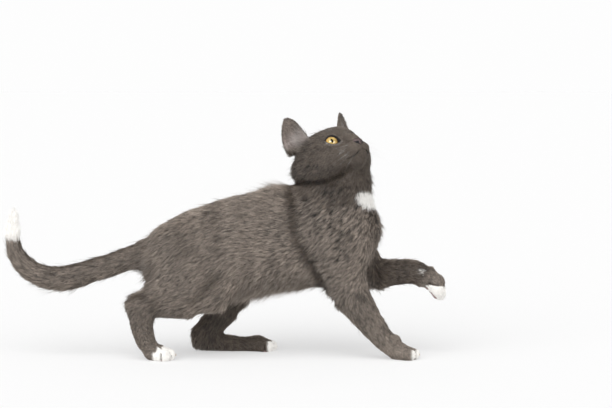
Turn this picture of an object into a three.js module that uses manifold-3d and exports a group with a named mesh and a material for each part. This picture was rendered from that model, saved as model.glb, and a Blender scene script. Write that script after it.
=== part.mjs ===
// A short-haired kitten about four months old, stepping forward with one forepaw raised and its
// head turned and tilted up. Millimetres, +Z up, the kitten faces +X and its left side is +Y.
//
// The whole animal is one smooth field, a sum of tapering lengths of flesh. Each named part is
// skinned from that field at its own facet size and then cut out by a plain region, with a thin
// gap to the parts beside it.
import * as THREE from 'three';
import { mergeVertices } from 'three/addons/utils/BufferGeometryUtils.js';
import Module from 'manifold-3d';

const wasm = await Module();
wasm.setup();

// ---------------------------------------------------------------- driving dimensions
const gap = 0.3; // between two parts that touch
const eyeRadius = 9.4;
const lidThickness = 1.5;
const eyeOpening = { wide: 8.2, high: 5.7 }; // half sizes of the almond between the lids
const ear = { halfWidth: 14.5, thickness: 2.8, innerHollow: 0.34, outerBulge: 0.08 };
// Root and tip of each ear: ahead, left and over, from the middle of the head.
const earEnds = {
  left: { root: [-16, 27, 15], tip: [-11, 41.5, 53] },
  right: { root: [-14, -30.5, 15], tip: [-10.5, -38.5, 54] },
};
// The size of the facets on each kind of part.
const facet = { trunk: 15, limb: 10, tail: 9, tip: 5, head: 6, paw: 5.6 };

// How far each joint between two lengths of flesh is rounded over.
const soft = { body: 12, limb: 7, toe: 2.2, face: 5 };

const vec = (x, y, z) => new THREE.Vector3(x, y, z);
const clamp = THREE.MathUtils.clamp;
const lerp = THREE.MathUtils.lerp;
const degrees = THREE.MathUtils.degToRad;

// ---------------------------------------------------------------- lengths of flesh
// Each row is one station of a centre line: x, y, z, half height and half width.
const body = {
  trunk: [
    [-163, 0, 111, 19, 21],
    [-141, 0, 112, 38, 32],
    [-112, 0, 114, 51, 39],
    [-73, 0, 121, 57, 43],
    [-34, 0, 128, 56.5, 42],
    [0, 0, 130, 56.5, 39],
    [30, 0, 132, 51, 36],
    [45, 0, 135, 38, 32],
  ],
  neck: [
    [40, 0, 148, 40, 31],
    [34, -2, 178, 38, 30],
    [29, -4, 199, 39, 31],
  ],
  tail: [
    [-150, 0, 119, 14, 14],
    [-168, 0, 115.5, 13.5, 13.5],
    [-196, 0, 107, 13, 12.5],
    [-227, 0, 96, 13, 12.5],
    [-261, 1, 86, 13.5, 13],
    [-288, 2, 86.5, 12.4, 12],
    [-310, 3, 97, 11.4, 11],
    [-323, 4, 117, 9.2, 9],
    [-324, 4, 138, 7, 6.8],
    [-322.5, 4, 154, 4.2, 4.2],
  ],
  rightThigh: [
    [-137, -18, 117, 34, 18],
    [-119, -26, 96, 33, 17],
    [-101, -28, 71, 21, 14],
  ],
  rightHamstring: [
    [-142, -18, 106, 24, 16],
    [-155, -25, 82, 18, 13.5],
    [-164, -29, 67, 13, 12],
  ],
  rightShank: [
    [-103, -28, 66, 19.5, 14],
    [-127, -29, 61.5, 16.8, 13],
    [-154, -29, 60.5, 14.1, 12.3],
    [-179, -30, 61, 13, 11.5],
  ],
  rightHindFoot: [
    [-179, -30, 60, 13.2, 11.8],
    [-176.5, -30, 38, 12.2, 11.2],
    [-172, -30, 19, 11.5, 11.2],
  ],
  leftThigh: [
    [-137, 18, 117, 34, 18],
    [-106, 27, 90, 31, 16.5],
    [-81, 28, 65, 20, 14],
  ],
  leftShank: [
    [-80, 28, 61, 19, 14],
    [-96, 30, 38, 16.5, 13],
    [-114, 30, 18, 14.3, 12],
  ],
  leftHindFoot: [
    [-114, 30, 14, 14, 12],
    [-92, 30, 8, 9.6, 10.5],
    [-64, 30, 7, 9, 11],
  ],
  rightUpperArm: [
    [14, -21, 158, 27, 14],
    [46, -25, 121, 30, 16],
    [41, -26, 88, 23, 14],
  ],
  rightForearm: [
    [44, -25, 86, 24, 14],
    [63, -25, 56, 18, 12.5],
    [79, -25, 34, 14.4, 11],
    [93, -25, 16, 12, 10.8],
  ],
  leftUpperArm: [
    [14, 21, 158, 27, 14],
    [48, 24, 121, 29, 15],
    [66, 23, 88, 19.5, 13.5],
  ],
  leftForearm: [
    [69, 23, 86, 17.8, 13],
    [94, 23, 88.5, 15.6, 12.5],
    [117, 23, 90, 15.3, 12.3],
    [132, 23, 86, 13, 12],
  ],
};

// ---------------------------------------------------------------- frames
// A frame is a place with three unit directions: ahead, left and over.
function makeFrame(at, yaw, pitch, roll) {
  const turn = new THREE.Matrix4().makeRotationFromEuler(
    new THREE.Euler(degrees(roll), degrees(-pitch), degrees(yaw), 'ZYX'));
  const ahead = vec(0, 0, 0);
  const left = vec(0, 0, 0);
  const over = vec(0, 0, 0);
  turn.extractBasis(ahead, left, over);
  return { at, ahead, left, over, matrix: turn.clone().setPosition(at) };
}

const inFrame = (frame, f, l, u) => vec(f, l, u).applyMatrix4(frame.matrix);

const headFrame = makeFrame(vec(33, -6, 224), -52, 31, 4);
const pawFrames = {
  right_fore: makeFrame(vec(103, -25, 6.3), -4, 0, 0),
  left_fore: makeFrame(vec(140.5, 23, 77), 3, -52, 0),
  right_hind: makeFrame(vec(-163, -30, 6.3), -5, 0, 0),
  left_hind: makeFrame(vec(-54, 30, 6.3), 4, 0, 0),
};

// ---------------------------------------------------------------- distance fields
// All of these are below zero inside the flesh.
function ellipsoid(frame, centre, radii) {
  const at = inFrame(frame, ...centre);
  const reach = Math.max(...radii);
  return {
    at,
    reach,
    field(p) {
      const d = p.clone().sub(at);
      const far = d.length();
      if (far < 1e-6) return -Math.min(...radii);
      const k = Math.hypot(
        d.dot(frame.ahead) / radii[0], d.dot(frame.left) / radii[1], d.dot(frame.over) / radii[2]);
      return far * (1 - 1 / k);
    },
  };
}

// The stations of a centre line with three more worked out between each two.
function smoothStations(rows) {
  const between = 4;
  const line = new THREE.CatmullRomCurve3(rows.map(([x, y, z]) => vec(x, y, z)), false, 'centripetal');
  const out = [];
  for (let i = 0; i < (rows.length - 1) * between + 1; i++) {
    const t = i / between;
    const a = Math.min(Math.floor(t), rows.length - 2);
    out.push({
      at: line.getPoint(t / (rows.length - 1)),
      high: lerp(rows[a][3], rows[a + 1][3], t - a),
      wide: lerp(rows[a][4], rows[a + 1][4], t - a),
    });
  }
  return out;
}

// A tapering length of oval section along its stations. Its width lies along the Y axis.
function flesh(rows) {
  const stations = smoothStations(rows);
  const box = new THREE.Box3().setFromPoints(stations.map((s) => s.at));
  const at = box.getCenter(vec(0, 0, 0));
  const reach = box.getSize(vec(0, 0, 0)).length() / 2 + Math.max(...stations.map((s) => s.high));
  const field = (p) => {
    let least = Infinity;
    for (let i = 0; i + 1 < stations.length; i++) {
      const a = stations[i];
      const b = stations[i + 1];
      const ab = b.at.clone().sub(a.at);
      const t = clamp(p.clone().sub(a.at).dot(ab) / ab.lengthSq(), 0, 1);
      const d = p.clone().sub(a.at).addScaledVector(ab, -t);
      const far = Math.max(d.length(), 1e-6);
      const high = lerp(a.high, b.high, t);
      const wide = lerp(a.wide, b.wide, t);
      const k = Math.hypot(d.y / wide, Math.hypot(d.x, d.z) / high);
      least = Math.min(least, k < 1e-6 ? -wide : far * (1 - 1 / k));
    }
    return least;
  };
  return { at, reach, field };
}

function softMin(a, b, rounding) {
  const h = Math.max(rounding - Math.abs(a - b), 0) / rounding;
  return Math.min(a, b) - h * h * rounding / 4;
}

// ---------------------------------------------------------------- the head
const eyeAt = (side) => [14, side * 15.1, 4.4];

function headPieces() {
  const pieces = [
    { centre: [-10, 0, 4], radii: [34, 31.5, 27] }, // skull
    { centre: [5, 0, 13], radii: [20, 23, 13.5] }, // forehead
    { centre: [24, 0, 0.5], radii: [16, 7.5, 9.5] }, // bridge of the nose
    { centre: [37, 0, -6.5], radii: [6.5, 6.2, 5.5] }, // tip of the nose
    { centre: [16, 0, -19], radii: [19, 15.5, 11] }, // jaw
    { centre: [29.5, 0, -23.5], radii: [8, 7.6, 6.2] }, // chin
  ];
  for (const side of [-1, 1]) {
    pieces.push({ centre: [2, side * 17.5, -10], radii: [23, 18, 20] }); // cheek
    pieces.push({ centre: [-26, side * 24, -2], radii: [19, 16, 17] }); // ruff
    pieces.push({ centre: [31, side * 6.9, -13.5], radii: [10.5, 8.6, 8.2] }); // whisker pad
    pieces.push({ centre: [-23, side * 22, 17], radii: [12, 9, 11] }); // behind the ear
    pieces.push({ centre: [-5, side * 16, 17], radii: [14, 9, 9.5] }); // in front of the ear
    const lid = eyeRadius + lidThickness;
    pieces.push({ centre: eyeAt(side), radii: [lid, lid, lid] }); // lids
  }
  return pieces.map(({ centre, radii }) => ellipsoid(headFrame, centre, radii));
}

// ---------------------------------------------------------------- the paws
const toes = { count: 4, apart: 6.3, reach: 12.5, setBack: 4.5, radii: [9.2, 4.9, 6.8] };
const palm = { centre: [-1, 0, 1.5], radii: [13, 11.2, 9.5] };

function pawPieces(frame) {
  const pieces = [ellipsoid(frame, palm.centre, palm.radii)];
  for (let i = 0; i < toes.count; i++) {
    const across = i - (toes.count - 1) / 2;
    const back = Math.abs(across) > 1 ? toes.setBack : 0;
    const centre = [toes.reach - back, across * toes.apart, -0.6];
    pieces.push(ellipsoid(frame, centre, toes.radii));
  }
  return pieces;
}

// ---------------------------------------------------------------- the whole animal
const lengths = Object.fromEntries(Object.entries(body).map(([name, rows]) => [name, flesh(rows)]));
const groups = [
  { pieces: [lengths.trunk], rounding: soft.body },
  { pieces: [lengths.tail], rounding: soft.body },
  { pieces: [lengths.neck], rounding: soft.body },
  { pieces: [lengths.rightThigh, lengths.leftThigh], rounding: soft.body },
  { pieces: [lengths.rightHamstring], rounding: soft.body },
  { pieces: [lengths.rightUpperArm, lengths.leftUpperArm], rounding: soft.body },
  { pieces: [lengths.rightShank, lengths.leftShank], rounding: soft.limb },
  { pieces: [lengths.rightForearm, lengths.leftForearm], rounding: soft.limb },
  { pieces: [lengths.rightHindFoot, lengths.leftHindFoot], rounding: soft.toe },
  { pieces: headPieces(), rounding: soft.face },
  { pieces: Object.values(pawFrames).flatMap(pawPieces), rounding: soft.toe },
];

function animal(p) {
  let value = 1e3;
  for (const { pieces, rounding } of groups) {
    for (const piece of pieces) {
      if (p.distanceTo(piece.at) - piece.reach > rounding + 12) continue;
      value = softMin(value, piece.field(p), rounding);
    }
  }
  return value;
}

// ---------------------------------------------------------------- skinning a field
// A cell's corner c is at (c & 1, c >> 1 & 1, c >> 2), and an edge is named by its two corners.
const edgeName = (a, b) => `${Math.min(a, b)}-${Math.max(a, b)}`;
const knownRings = new Map();

// The surface passes through a cell in one or more rings of crossed edges. This gives each crossed
// edge the name of its ring, for a pattern of corners inside the flesh.
function ringsOf(pattern) {
  if (knownRings.has(pattern)) return knownRings.get(pattern);
  const inside = (corner) => (pattern >> corner) & 1;
  const ring = new Map();
  const join = (a, b) => {
    const [keep, drop] = [ring.get(a), ring.get(b)];
    for (const [edge, name] of ring) if (name === drop) ring.set(edge, keep);
  };
  for (let corner = 0; corner < 8; corner++) {
    for (const step of [1, 2, 4]) {
      const edge = edgeName(corner, corner | step);
      if (!(corner & step) && inside(corner) !== inside(corner | step)) ring.set(edge, edge);
    }
  }
  for (const [normal, u, v] of [[1, 2, 4], [2, 4, 1], [4, 1, 2]]) {
    for (const low of [0, normal]) {
      const corners = [low, low | u, low | u | v, low | v];
      const edges = corners.map((corner, i) => edgeName(corner, corners[(i + 1) % 4]));
      const crossed = edges.filter((edge) => ring.has(edge));
      if (crossed.length === 2) join(...crossed);
      if (crossed.length < 4) continue;
      corners.forEach((corner, i) => {
        if (inside(corner)) join(edges[(i + 3) % 4], edges[i]);
      });
    }
  }
  knownRings.set(pattern, ring);
  return ring;
}

// One vertex for each ring in a cell, and one quad round each crossed edge.
function skin(field, box, cell) {
  const size = box.getSize(vec(0, 0, 0));
  const n = [size.x, size.y, size.z].map((s) => Math.ceil(s / cell) + 1);
  const place = (i, j, k) => vec(box.min.x + i * cell, box.min.y + j * cell, box.min.z + k * cell);
  const index = (i, j, k) => i + n[0] * (j + n[1] * k);
  const values = new Float64Array(n[0] * n[1] * n[2]);
  const atEnd = (at, count) => at === 0 || at === count - 1;
  for (let k = 0; k < n[2]; k++) {
    for (let j = 0; j < n[1]; j++) {
      for (let i = 0; i < n[0]; i++) {
        const edge = atEnd(i, n[0]) || atEnd(j, n[1]) || atEnd(k, n[2]);
        values[index(i, j, k)] = edge ? cell : field(place(i, j, k));
      }
    }
  }

  // Moves a point along the field's slope until it lies on the surface.
  const settle = (p) => {
    const rounds = 3;
    const step = 0.5;
    for (let round = 0; round < rounds; round++) {
      const value = field(p);
      if (Math.abs(value) > cell) return p;
      const slope = vec(
        field(p.clone().add(vec(step, 0, 0))) - field(p.clone().sub(vec(step, 0, 0))),
        field(p.clone().add(vec(0, step, 0))) - field(p.clone().sub(vec(0, step, 0))),
        field(p.clone().add(vec(0, 0, step))) - field(p.clone().sub(vec(0, 0, step))))
        .divideScalar(2 * step);
      p.addScaledVector(slope, -value / Math.max(slope.lengthSq(), 0.3));
    }
    return p;
  };

  const positions = [];
  const vertexOf = new Map();
  const vertexFor = (cellAt, throughEdge) => {
    const corner = (c) => [cellAt[0] + (c & 1), cellAt[1] + (c >> 1 & 1), cellAt[2] + (c >> 2)];
    let pattern = 0;
    for (let c = 0; c < 8; c++) pattern |= (values[index(...corner(c))] < 0) << c;
    const rings = ringsOf(pattern);
    const key = `${index(...cellAt)} ${rings.get(throughEdge)}`;
    if (vertexOf.has(key)) return vertexOf.get(key);
    const sum = vec(0, 0, 0);
    let count = 0;
    for (const [edge, ring] of rings) {
      if (ring !== rings.get(throughEdge)) continue;
      const [from, to] = edge.split('-').map((c) => corner(Number(c)));
      const [a, b] = [values[index(...from)], values[index(...to)]];
      sum.add(place(...from).lerp(place(...to), a / (a - b)));
      count += 1;
    }
    const at = settle(sum.divideScalar(count));
    vertexOf.set(key, positions.length / 3);
    positions.push(at.x, at.y, at.z);
    return vertexOf.get(key);
  };

  const faces = [];
  for (let k = 0; k < n[2] - 1; k++) {
    for (let j = 0; j < n[1] - 1; j++) {
      for (let i = 0; i < n[0] - 1; i++) {
        for (let axis = 0; axis < 3; axis++) {
          const next = [i, j, k];
          next[axis] += 1;
          const here = values[index(i, j, k)] < 0;
          if (here === values[index(...next)] < 0) continue;
          const [b, c] = [(axis + 1) % 3, (axis + 2) % 3];
          const round = [[0, 0], [1, 0], [1, 1], [0, 1]].map(([db, dc]) => {
            const cellAt = [i, j, k];
            cellAt[b] -= db;
            cellAt[c] -= dc;
            const low = (db << b) | (dc << c);
            return vertexFor(cellAt, edgeName(low, low | (1 << axis)));
          });
          if (!here) round.reverse();
          faces.push(round[0], round[1], round[2], round[0], round[2], round[3]);
        }
      }
    }
  }
  return new wasm.Manifold(new wasm.Mesh({
    numProp: 3, vertProperties: new Float32Array(positions), triVerts: new Uint32Array(faces),
  }));
}

// ---------------------------------------------------------------- plain solids that cut
function solidOf(geometry) {
  const bare = geometry.clone();
  bare.deleteAttribute('normal');
  bare.deleteAttribute('uv');
  const merged = mergeVertices(bare, 1e-4);
  return new wasm.Manifold(new wasm.Mesh({
    numProp: 3,
    vertProperties: merged.attributes.position.array,
    triVerts: new Uint32Array(merged.index.array),
  }));
}

// A box from its lowest to its highest corner.
function block(low, high) {
  return (grow) => {
    const size = high.map((h, i) => h - low[i] + 2 * grow);
    const middle = high.map((h, i) => (h + low[i]) / 2);
    return solidOf(new THREE.BoxGeometry(...size).translate(...middle));
  };
}

// A box that starts at a joint and reaches the given way, wide enough for the limb that it holds.
function beyond(joint, direction, { reach, high, wide }) {
  const ahead = vec(...direction).normalize();
  const side = vec(0, 1, 0).addScaledVector(ahead, -ahead.y).normalize();
  const over = ahead.clone().cross(side);
  const turn = new THREE.Matrix4().makeBasis(ahead, side, over);
  return (grow) => solidOf(
    new THREE.BoxGeometry(reach + 2 * grow, wide + 2 * grow, high + 2 * grow)
      .translate(reach / 2, 0, 0)
      .applyMatrix4(turn)
      .translate(...joint));
}

// ---------------------------------------------------------------- named parts
// Parts are cut in this order, and each leaves out the regions before it.
const floorZ = 0;
const parts = [
  {
    name: 'tail_tip', slot: 'white_fur', facet: facet.tip,
    region: beyond([-324.5, 4, 130], [0, 0, 1], { reach: 50, high: 50, wide: 40 }),
  },
  {
    name: 'tail_bend', slot: 'grey_fur', facet: facet.tail,
    region: beyond([-279, 2, 85], [-1, 0, 0.06], { reach: 70, high: 110, wide: 50 }),
  },
  {
    name: 'tail_middle', slot: 'grey_fur', facet: facet.tail,
    region: beyond([-227, 0, 96], [-1, 0, -0.31], { reach: 60, high: 50, wide: 50 }),
  },
  {
    name: 'tail_base', slot: 'grey_fur', facet: facet.tail,
    region: beyond([-172, 0, 114], [-1, 0, -0.32], { reach: 60, high: 50, wide: 50 }),
  },
  {
    name: 'right_hind_paw', slot: 'white_fur', facet: facet.paw,
    region: block([-186, -50, -20], [-130, -12, 17]),
  },
  {
    name: 'right_hind_foot', slot: 'grey_fur', facet: facet.limb,
    region: beyond([-182, -30, 52], [0.2, 0, -1], { reach: 45, high: 50, wide: 36 }),
  },
  {
    name: 'right_shank', slot: 'grey_fur', facet: facet.limb,
    region: beyond([-119, -27, 61], [-1, 0, -0.05], { reach: 90, high: 31, wide: 36 }),
  },
  {
    name: 'right_thigh', slot: 'grey_fur', facet: facet.trunk,
    region: block([-186, -60, 30], [-75, -17, 158]),
  },
  {
    name: 'left_hind_paw', slot: 'white_fur', facet: facet.paw,
    region: block([-62, 12, -20], [-20, 52, 24]),
  },
  {
    name: 'left_hind_foot', slot: 'grey_fur', facet: facet.limb,
    region: block([-101, 12, -20], [-62, 50, 19]),
  },
  {
    name: 'left_shank', slot: 'grey_fur', facet: facet.limb,
    region: beyond([-83, 29, 48], [-0.72, 0, -0.69], { reach: 75, high: 70, wide: 36 }),
  },
  {
    name: 'left_thigh', slot: 'grey_fur', facet: facet.trunk,
    region: block([-186, 17, 22], [-44, 60, 158]),
  },
  {
    name: 'right_fore_paw', slot: 'grey_fur', facet: facet.paw,
    region: beyond([89, -25, 19], [0.6, 0, -0.8], { reach: 60, high: 70, wide: 40 }),
  },
  {
    name: 'right_forearm', slot: 'grey_fur', facet: facet.limb,
    region: beyond([50, -25, 73], [0.62, 0, -0.78], { reach: 80, high: 60, wide: 32 }),
  },
  {
    name: 'left_fore_paw', slot: 'grey_fur', facet: facet.paw,
    region: beyond([132, 23, 87], [0.8, 0, -0.6], { reach: 60, high: 60, wide: 44 }),
  },
  {
    name: 'left_forearm', slot: 'grey_fur', facet: facet.limb,
    region: beyond([79, 23, 88], [1, 0, 0.06], { reach: 80, high: 52, wide: 40 }),
  },
  {
    name: 'right_upper_arm', slot: 'grey_fur', facet: facet.trunk,
    region: block([-14, -60, 45], [84, -18, 172]),
  },
  {
    name: 'left_upper_arm', slot: 'grey_fur', facet: facet.trunk,
    region: block([-14, 18, 45], [90, 60, 172]),
  },
  {
    name: 'head', slot: 'grey_fur', facet: facet.head,
    region: beyond([32, -4, 193], [0.09, -0.05, 1], { reach: 110, high: 150, wide: 150 }),
  },
  {
    name: 'neck', slot: 'grey_fur', facet: facet.limb,
    region: beyond([32, 0, 176], [0.2, 0, 1], { reach: 60, high: 150, wide: 100 }),
  },
  {
    name: 'chest', slot: 'grey_fur', facet: facet.trunk,
    region: block([-8, -70, 40], [120, 70, 215]),
  },
  {
    name: 'belly', slot: 'grey_fur', facet: facet.trunk,
    region: block([-92, -70, 40], [-8, 70, 215]),
  },
  {
    name: 'rump', slot: 'grey_fur', facet: facet.trunk,
    region: block([-210, -70, 20], [-92, 70, 215]),
  },
];

const biggest = (solid) => solid.decompose().reduce((a, b) => (a.volume() > b.volume() ? a : b));

function boxOf(solid) {
  const { min, max } = solid.boundingBox();
  return new THREE.Box3(vec(...min), vec(...max));
}

function cutParts() {
  const whole = new THREE.Box3(vec(-345, -62, -14), vec(166, 72, 300));
  const aboveFloor = block([-400, -100, floorZ], [200, 100, 350])(0);
  const solids = new Map();
  const taken = [];
  for (const part of parts) {
    const region = part.region(-gap / 2);
    const box = boxOf(region).intersect(whole).expandByScalar(2 * part.facet);
    let solid = skin(animal, box, part.facet).intersect(region).intersect(aboveFloor);
    for (const other of taken) solid = solid.subtract(other);
    solids.set(part.name, biggest(solid));
    taken.push(part.region(gap / 2));
  }
  return solids;
}

// ---------------------------------------------------------------- eyes, nose, ears and jaw
function ball(frame, centre, radii, segments = 18) {
  return solidOf(
    new THREE.SphereGeometry(1, segments, Math.round(segments * 0.66))
      .scale(...radii)
      .translate(...centre)
      .applyMatrix4(frame.matrix));
}

// The way an eye looks out, in the head's frame.
const gaze = (side) => vec(0.93, side * 0.3, 0.2).normalize();

// An almond-shaped plug that opens the lids in front of an eye.
function lidOpening(side) {
  const look = gaze(side);
  const slant = 0.24; // the outer corner is higher
  const across = vec(-look.y * side, look.x * side, slant).normalize().multiplyScalar(side);
  const along = across.clone().addScaledVector(look, -across.dot(look)).normalize();
  const over = look.clone().cross(along);
  const almond = new THREE.Shape();
  almond.moveTo(-eyeOpening.wide, 0);
  almond.quadraticCurveTo(0, 2 * eyeOpening.high, eyeOpening.wide, 0);
  almond.quadraticCurveTo(0, -1.7 * eyeOpening.high, -eyeOpening.wide, 0);
  const turn = new THREE.Matrix4().makeBasis(along, over, look).setPosition(...eyeAt(side));
  const depth = eyeRadius + 10;
  return solidOf(
    new THREE.ExtrudeGeometry(almond, { depth, curveSegments: 8, bevelEnabled: false })
      .applyMatrix4(turn)
      .applyMatrix4(headFrame.matrix));
}

// A cupped leaf: rows up the ear, each an arc that opens towards the front. Its root is inside the head.
function earLeaf(ends, grow) {
  const rows = 7;
  const columns = 6;
  const side = Math.sign(ends.tip[1]);
  const root = vec(...ends.root);
  const tip = vec(...ends.tip);
  const rise = tip.clone().sub(root).normalize();
  const front = vec(0.8, side * 0.6, 0);
  const open = front.addScaledVector(rise, -front.dot(rise)).normalize();
  const across = rise.clone().cross(open);
  const long = tip.distanceTo(root);
  const positions = [];
  for (const layer of [0, 1]) {
    for (let i = 0; i <= rows; i++) {
      const t = i / rows * 0.985;
      const half = ear.halfWidth * Math.cos(Math.PI / 2 * t ** 1.3) ** 0.7;
      const bend = lerp(degrees(88), degrees(42), Math.sqrt(t));
      const radius = half / Math.sin(bend);
      const thick = ear.thickness * lerp(1, 0.62, t);
      const height = t * long + (i === 0 ? -grow : 0) + (i === rows ? grow : 0);
      for (let j = 0; j <= columns; j++) {
        const angle = lerp(-bend, bend, j / columns) * (1 + grow / radius);
        const r = radius + (layer === 0 ? -grow : thick + grow);
        const shape = angle * side < 0 ? -ear.innerHollow : ear.outerBulge;
        const fullness = 1 + shape * Math.sin(Math.PI * t ** 0.8);
        const p = root.clone()
          .addScaledVector(rise, height)
          .addScaledVector(across, r * Math.sin(angle) * fullness)
          .addScaledVector(open, radius - r * Math.cos(angle) - 4 * (1 - t));
        positions.push(...p.toArray());
      }
    }
  }
  const at = (layer, i, j) => (layer * (rows + 1) + i) * (columns + 1) + j;
  const faces = [];
  const quad = (a, b, c, d) => faces.push(a, c, b, a, d, c);
  for (let i = 0; i < rows; i++) {
    for (let j = 0; j < columns; j++) {
      quad(at(0, i, j), at(0, i + 1, j), at(0, i + 1, j + 1), at(0, i, j + 1));
      quad(at(1, i, j), at(1, i, j + 1), at(1, i + 1, j + 1), at(1, i + 1, j));
    }
    quad(at(0, i, 0), at(1, i, 0), at(1, i + 1, 0), at(0, i + 1, 0));
    quad(at(0, i, columns), at(0, i + 1, columns), at(1, i + 1, columns), at(1, i, columns));
  }
  for (let j = 0; j < columns; j++) {
    quad(at(0, 0, j), at(0, 0, j + 1), at(1, 0, j + 1), at(1, 0, j));
    quad(at(0, rows, j), at(1, rows, j), at(1, rows, j + 1), at(0, rows, j + 1));
  }
  const geometry = new THREE.BufferGeometry();
  geometry.setAttribute('position', new THREE.Float32BufferAttribute(positions, 3));
  geometry.setIndex(faces);
  return solidOf(geometry.applyMatrix4(headFrame.matrix));
}

// The lower jaw is what lies below the line of the lips, which falls away to the corner of the mouth.
function jawRegion(grow) {
  const lips = new THREE.Shape();
  const front = 60;
  lips.moveTo(9 - grow, -60);
  lips.lineTo(front, -60);
  lips.lineTo(front, -16.2 + grow);
  lips.lineTo(37, -16.8 + grow);
  lips.lineTo(24, -21.5 + grow);
  lips.lineTo(9 - grow, -23.5 + grow);
  const wide = 26 + 2 * grow;
  return solidOf(
    new THREE.ExtrudeGeometry(lips, { depth: wide, bevelEnabled: false })
      .translate(0, 0, -wide / 2)
      .rotateX(Math.PI / 2)
      .applyMatrix4(headFrame.matrix));
}

const nose = { centre: [39, 0, -7], radii: [5.2, 6, 4.6] };

function finishHead(solids) {
  const grown = (radii, grow) => radii.map((radius) => radius + grow);
  const eyeRadii = Array(3).fill(eyeRadius);
  const fitted = new Map();
  fitted.set('nose', (grow) => ball(headFrame, nose.centre, grown(nose.radii, grow), 12));
  for (const [name, side] of [['left', 1], ['right', -1]]) {
    fitted.set(`${name}_ear`, (grow) => earLeaf(earEnds[name], grow));
    fitted.set(`${name}_eye`, (grow) => ball(headFrame, eyeAt(side), grown(eyeRadii, grow), 14));
  }
  let head = solids.get('head');
  for (const [name, make] of fitted) {
    solids.set(name, make(0));
    head = head.subtract(make(gap));
  }
  for (const side of [-1, 1]) head = head.subtract(lidOpening(side));
  solids.set('head', biggest(head.subtract(jawRegion(gap / 2))));
  solids.set('lower_jaw', biggest(head.intersect(jawRegion(-gap / 2))));
}

// ---------------------------------------------------------------- materials and meshes
const materials = {
  grey_fur: new THREE.MeshStandardMaterial({ color: 0x6f665f, roughness: 0.9, metalness: 0 }),
  white_fur: new THREE.MeshStandardMaterial({ color: 0xe9e6df, roughness: 0.9, metalness: 0 }),
  nose_skin: new THREE.MeshStandardMaterial({ color: 0x453b3d, roughness: 0.55, metalness: 0 }),
  eye: new THREE.MeshStandardMaterial({ color: 0xb8923a, roughness: 0.08, metalness: 0 }),
};
const slots = Object.fromEntries(parts.map((part) => [part.name, part.slot]));
Object.assign(slots, { nose: 'nose_skin', left_eye: 'eye', right_eye: 'eye' });

function meshOf(name, solid) {
  const { vertProperties, triVerts } = solid.getMesh();
  const geometry = new THREE.BufferGeometry();
  geometry.setAttribute('position', new THREE.BufferAttribute(vertProperties, 3));
  geometry.setIndex(new THREE.BufferAttribute(triVerts, 1));
  const mesh = new THREE.Mesh(geometry, materials[slots[name] ?? 'grey_fur']);
  mesh.name = name;
  return mesh;
}

const solids = cutParts();
finishHead(solids);

const kitten = new THREE.Group();
for (const [name, solid] of solids) kitten.add(meshOf(name, solid));

// The origin is on the floor, below the middle of the animal.
const extent = new THREE.Box3().setFromObject(kitten);
const middle = extent.getCenter(vec(0, 0, 0));
kitten.position.set(-middle.x, -middle.y, -extent.min.z);

export default kitten;
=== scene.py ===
import math
import bpy
import bmesh
import numpy as np
from mathutils import Matrix, Vector, noise
from mathutils.bvhtree import BVHTree
from mathutils.kdtree import KDTree


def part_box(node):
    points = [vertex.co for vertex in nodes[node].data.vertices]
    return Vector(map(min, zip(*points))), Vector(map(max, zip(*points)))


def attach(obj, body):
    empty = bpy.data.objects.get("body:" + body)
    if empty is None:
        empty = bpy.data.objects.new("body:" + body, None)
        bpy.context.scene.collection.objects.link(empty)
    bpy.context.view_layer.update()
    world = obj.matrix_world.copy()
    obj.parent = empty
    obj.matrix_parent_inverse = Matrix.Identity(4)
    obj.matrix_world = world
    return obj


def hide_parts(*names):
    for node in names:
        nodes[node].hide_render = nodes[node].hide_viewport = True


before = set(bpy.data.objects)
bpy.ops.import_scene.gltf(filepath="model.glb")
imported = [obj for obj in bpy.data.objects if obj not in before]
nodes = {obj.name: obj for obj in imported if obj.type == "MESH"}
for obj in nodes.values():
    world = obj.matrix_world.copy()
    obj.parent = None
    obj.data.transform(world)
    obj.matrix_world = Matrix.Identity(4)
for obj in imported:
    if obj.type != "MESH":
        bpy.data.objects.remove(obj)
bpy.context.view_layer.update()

mm = 0.001


def unit(v):
    v = np.asarray(v, float)
    return v / np.maximum(np.linalg.norm(v, axis=-1, keepdims=True), 1e-12)


def rampUp(low, high, x):  # 0 below low, 1 above high, smooth between
    t = np.clip((x - low) / (high - low), 0, 1)
    return t * t * (3 - 2 * t)


def bump(distance, width):  # 1 at the middle, fading over width
    return np.exp(-(distance / width) ** 2)


def ridge(distance, height, at, width):
    return height * bump(distance - at, width)


def awayFrom(points, middle, reach=1):  # distance from a middle, in mm or in reaches
    return np.linalg.norm((points - middle) / reach, axis=1)


def readRows(items, what, kind=np.float32, columns=3):
    flat = np.empty(len(items) * columns, kind)
    items.foreach_get(what, flat)
    return flat.reshape(-1, columns)


def pointsOf(mesh):
    return readRows(mesh.vertices, "co").astype(float)


def normalsOf(mesh):
    return readRows(mesh.vertex_normals, "vector").astype(float)


def setPoints(mesh, points):
    mesh.vertices.foreach_set("co", points.astype(np.float32).ravel())
    mesh.update()


def setFloat(mesh, name, values):
    layer = mesh.attributes.get(name) or mesh.attributes.new(name, "FLOAT", "POINT")
    layer.data.foreach_set("value", np.asarray(values, np.float32))


def meshFrom(bm, name):
    mesh = bpy.data.meshes.new(name)
    bm.to_mesh(mesh)
    bm.free()
    return mesh


def addObject(name, data):
    piece = bpy.data.objects.new(name, data)
    bpy.context.scene.collection.objects.link(piece)
    return piece


def treeOf(points):
    tree = KDTree(len(points))
    for i, p in enumerate(points.tolist()):
        tree.insert(p, i)
    tree.balance()
    return tree


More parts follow.
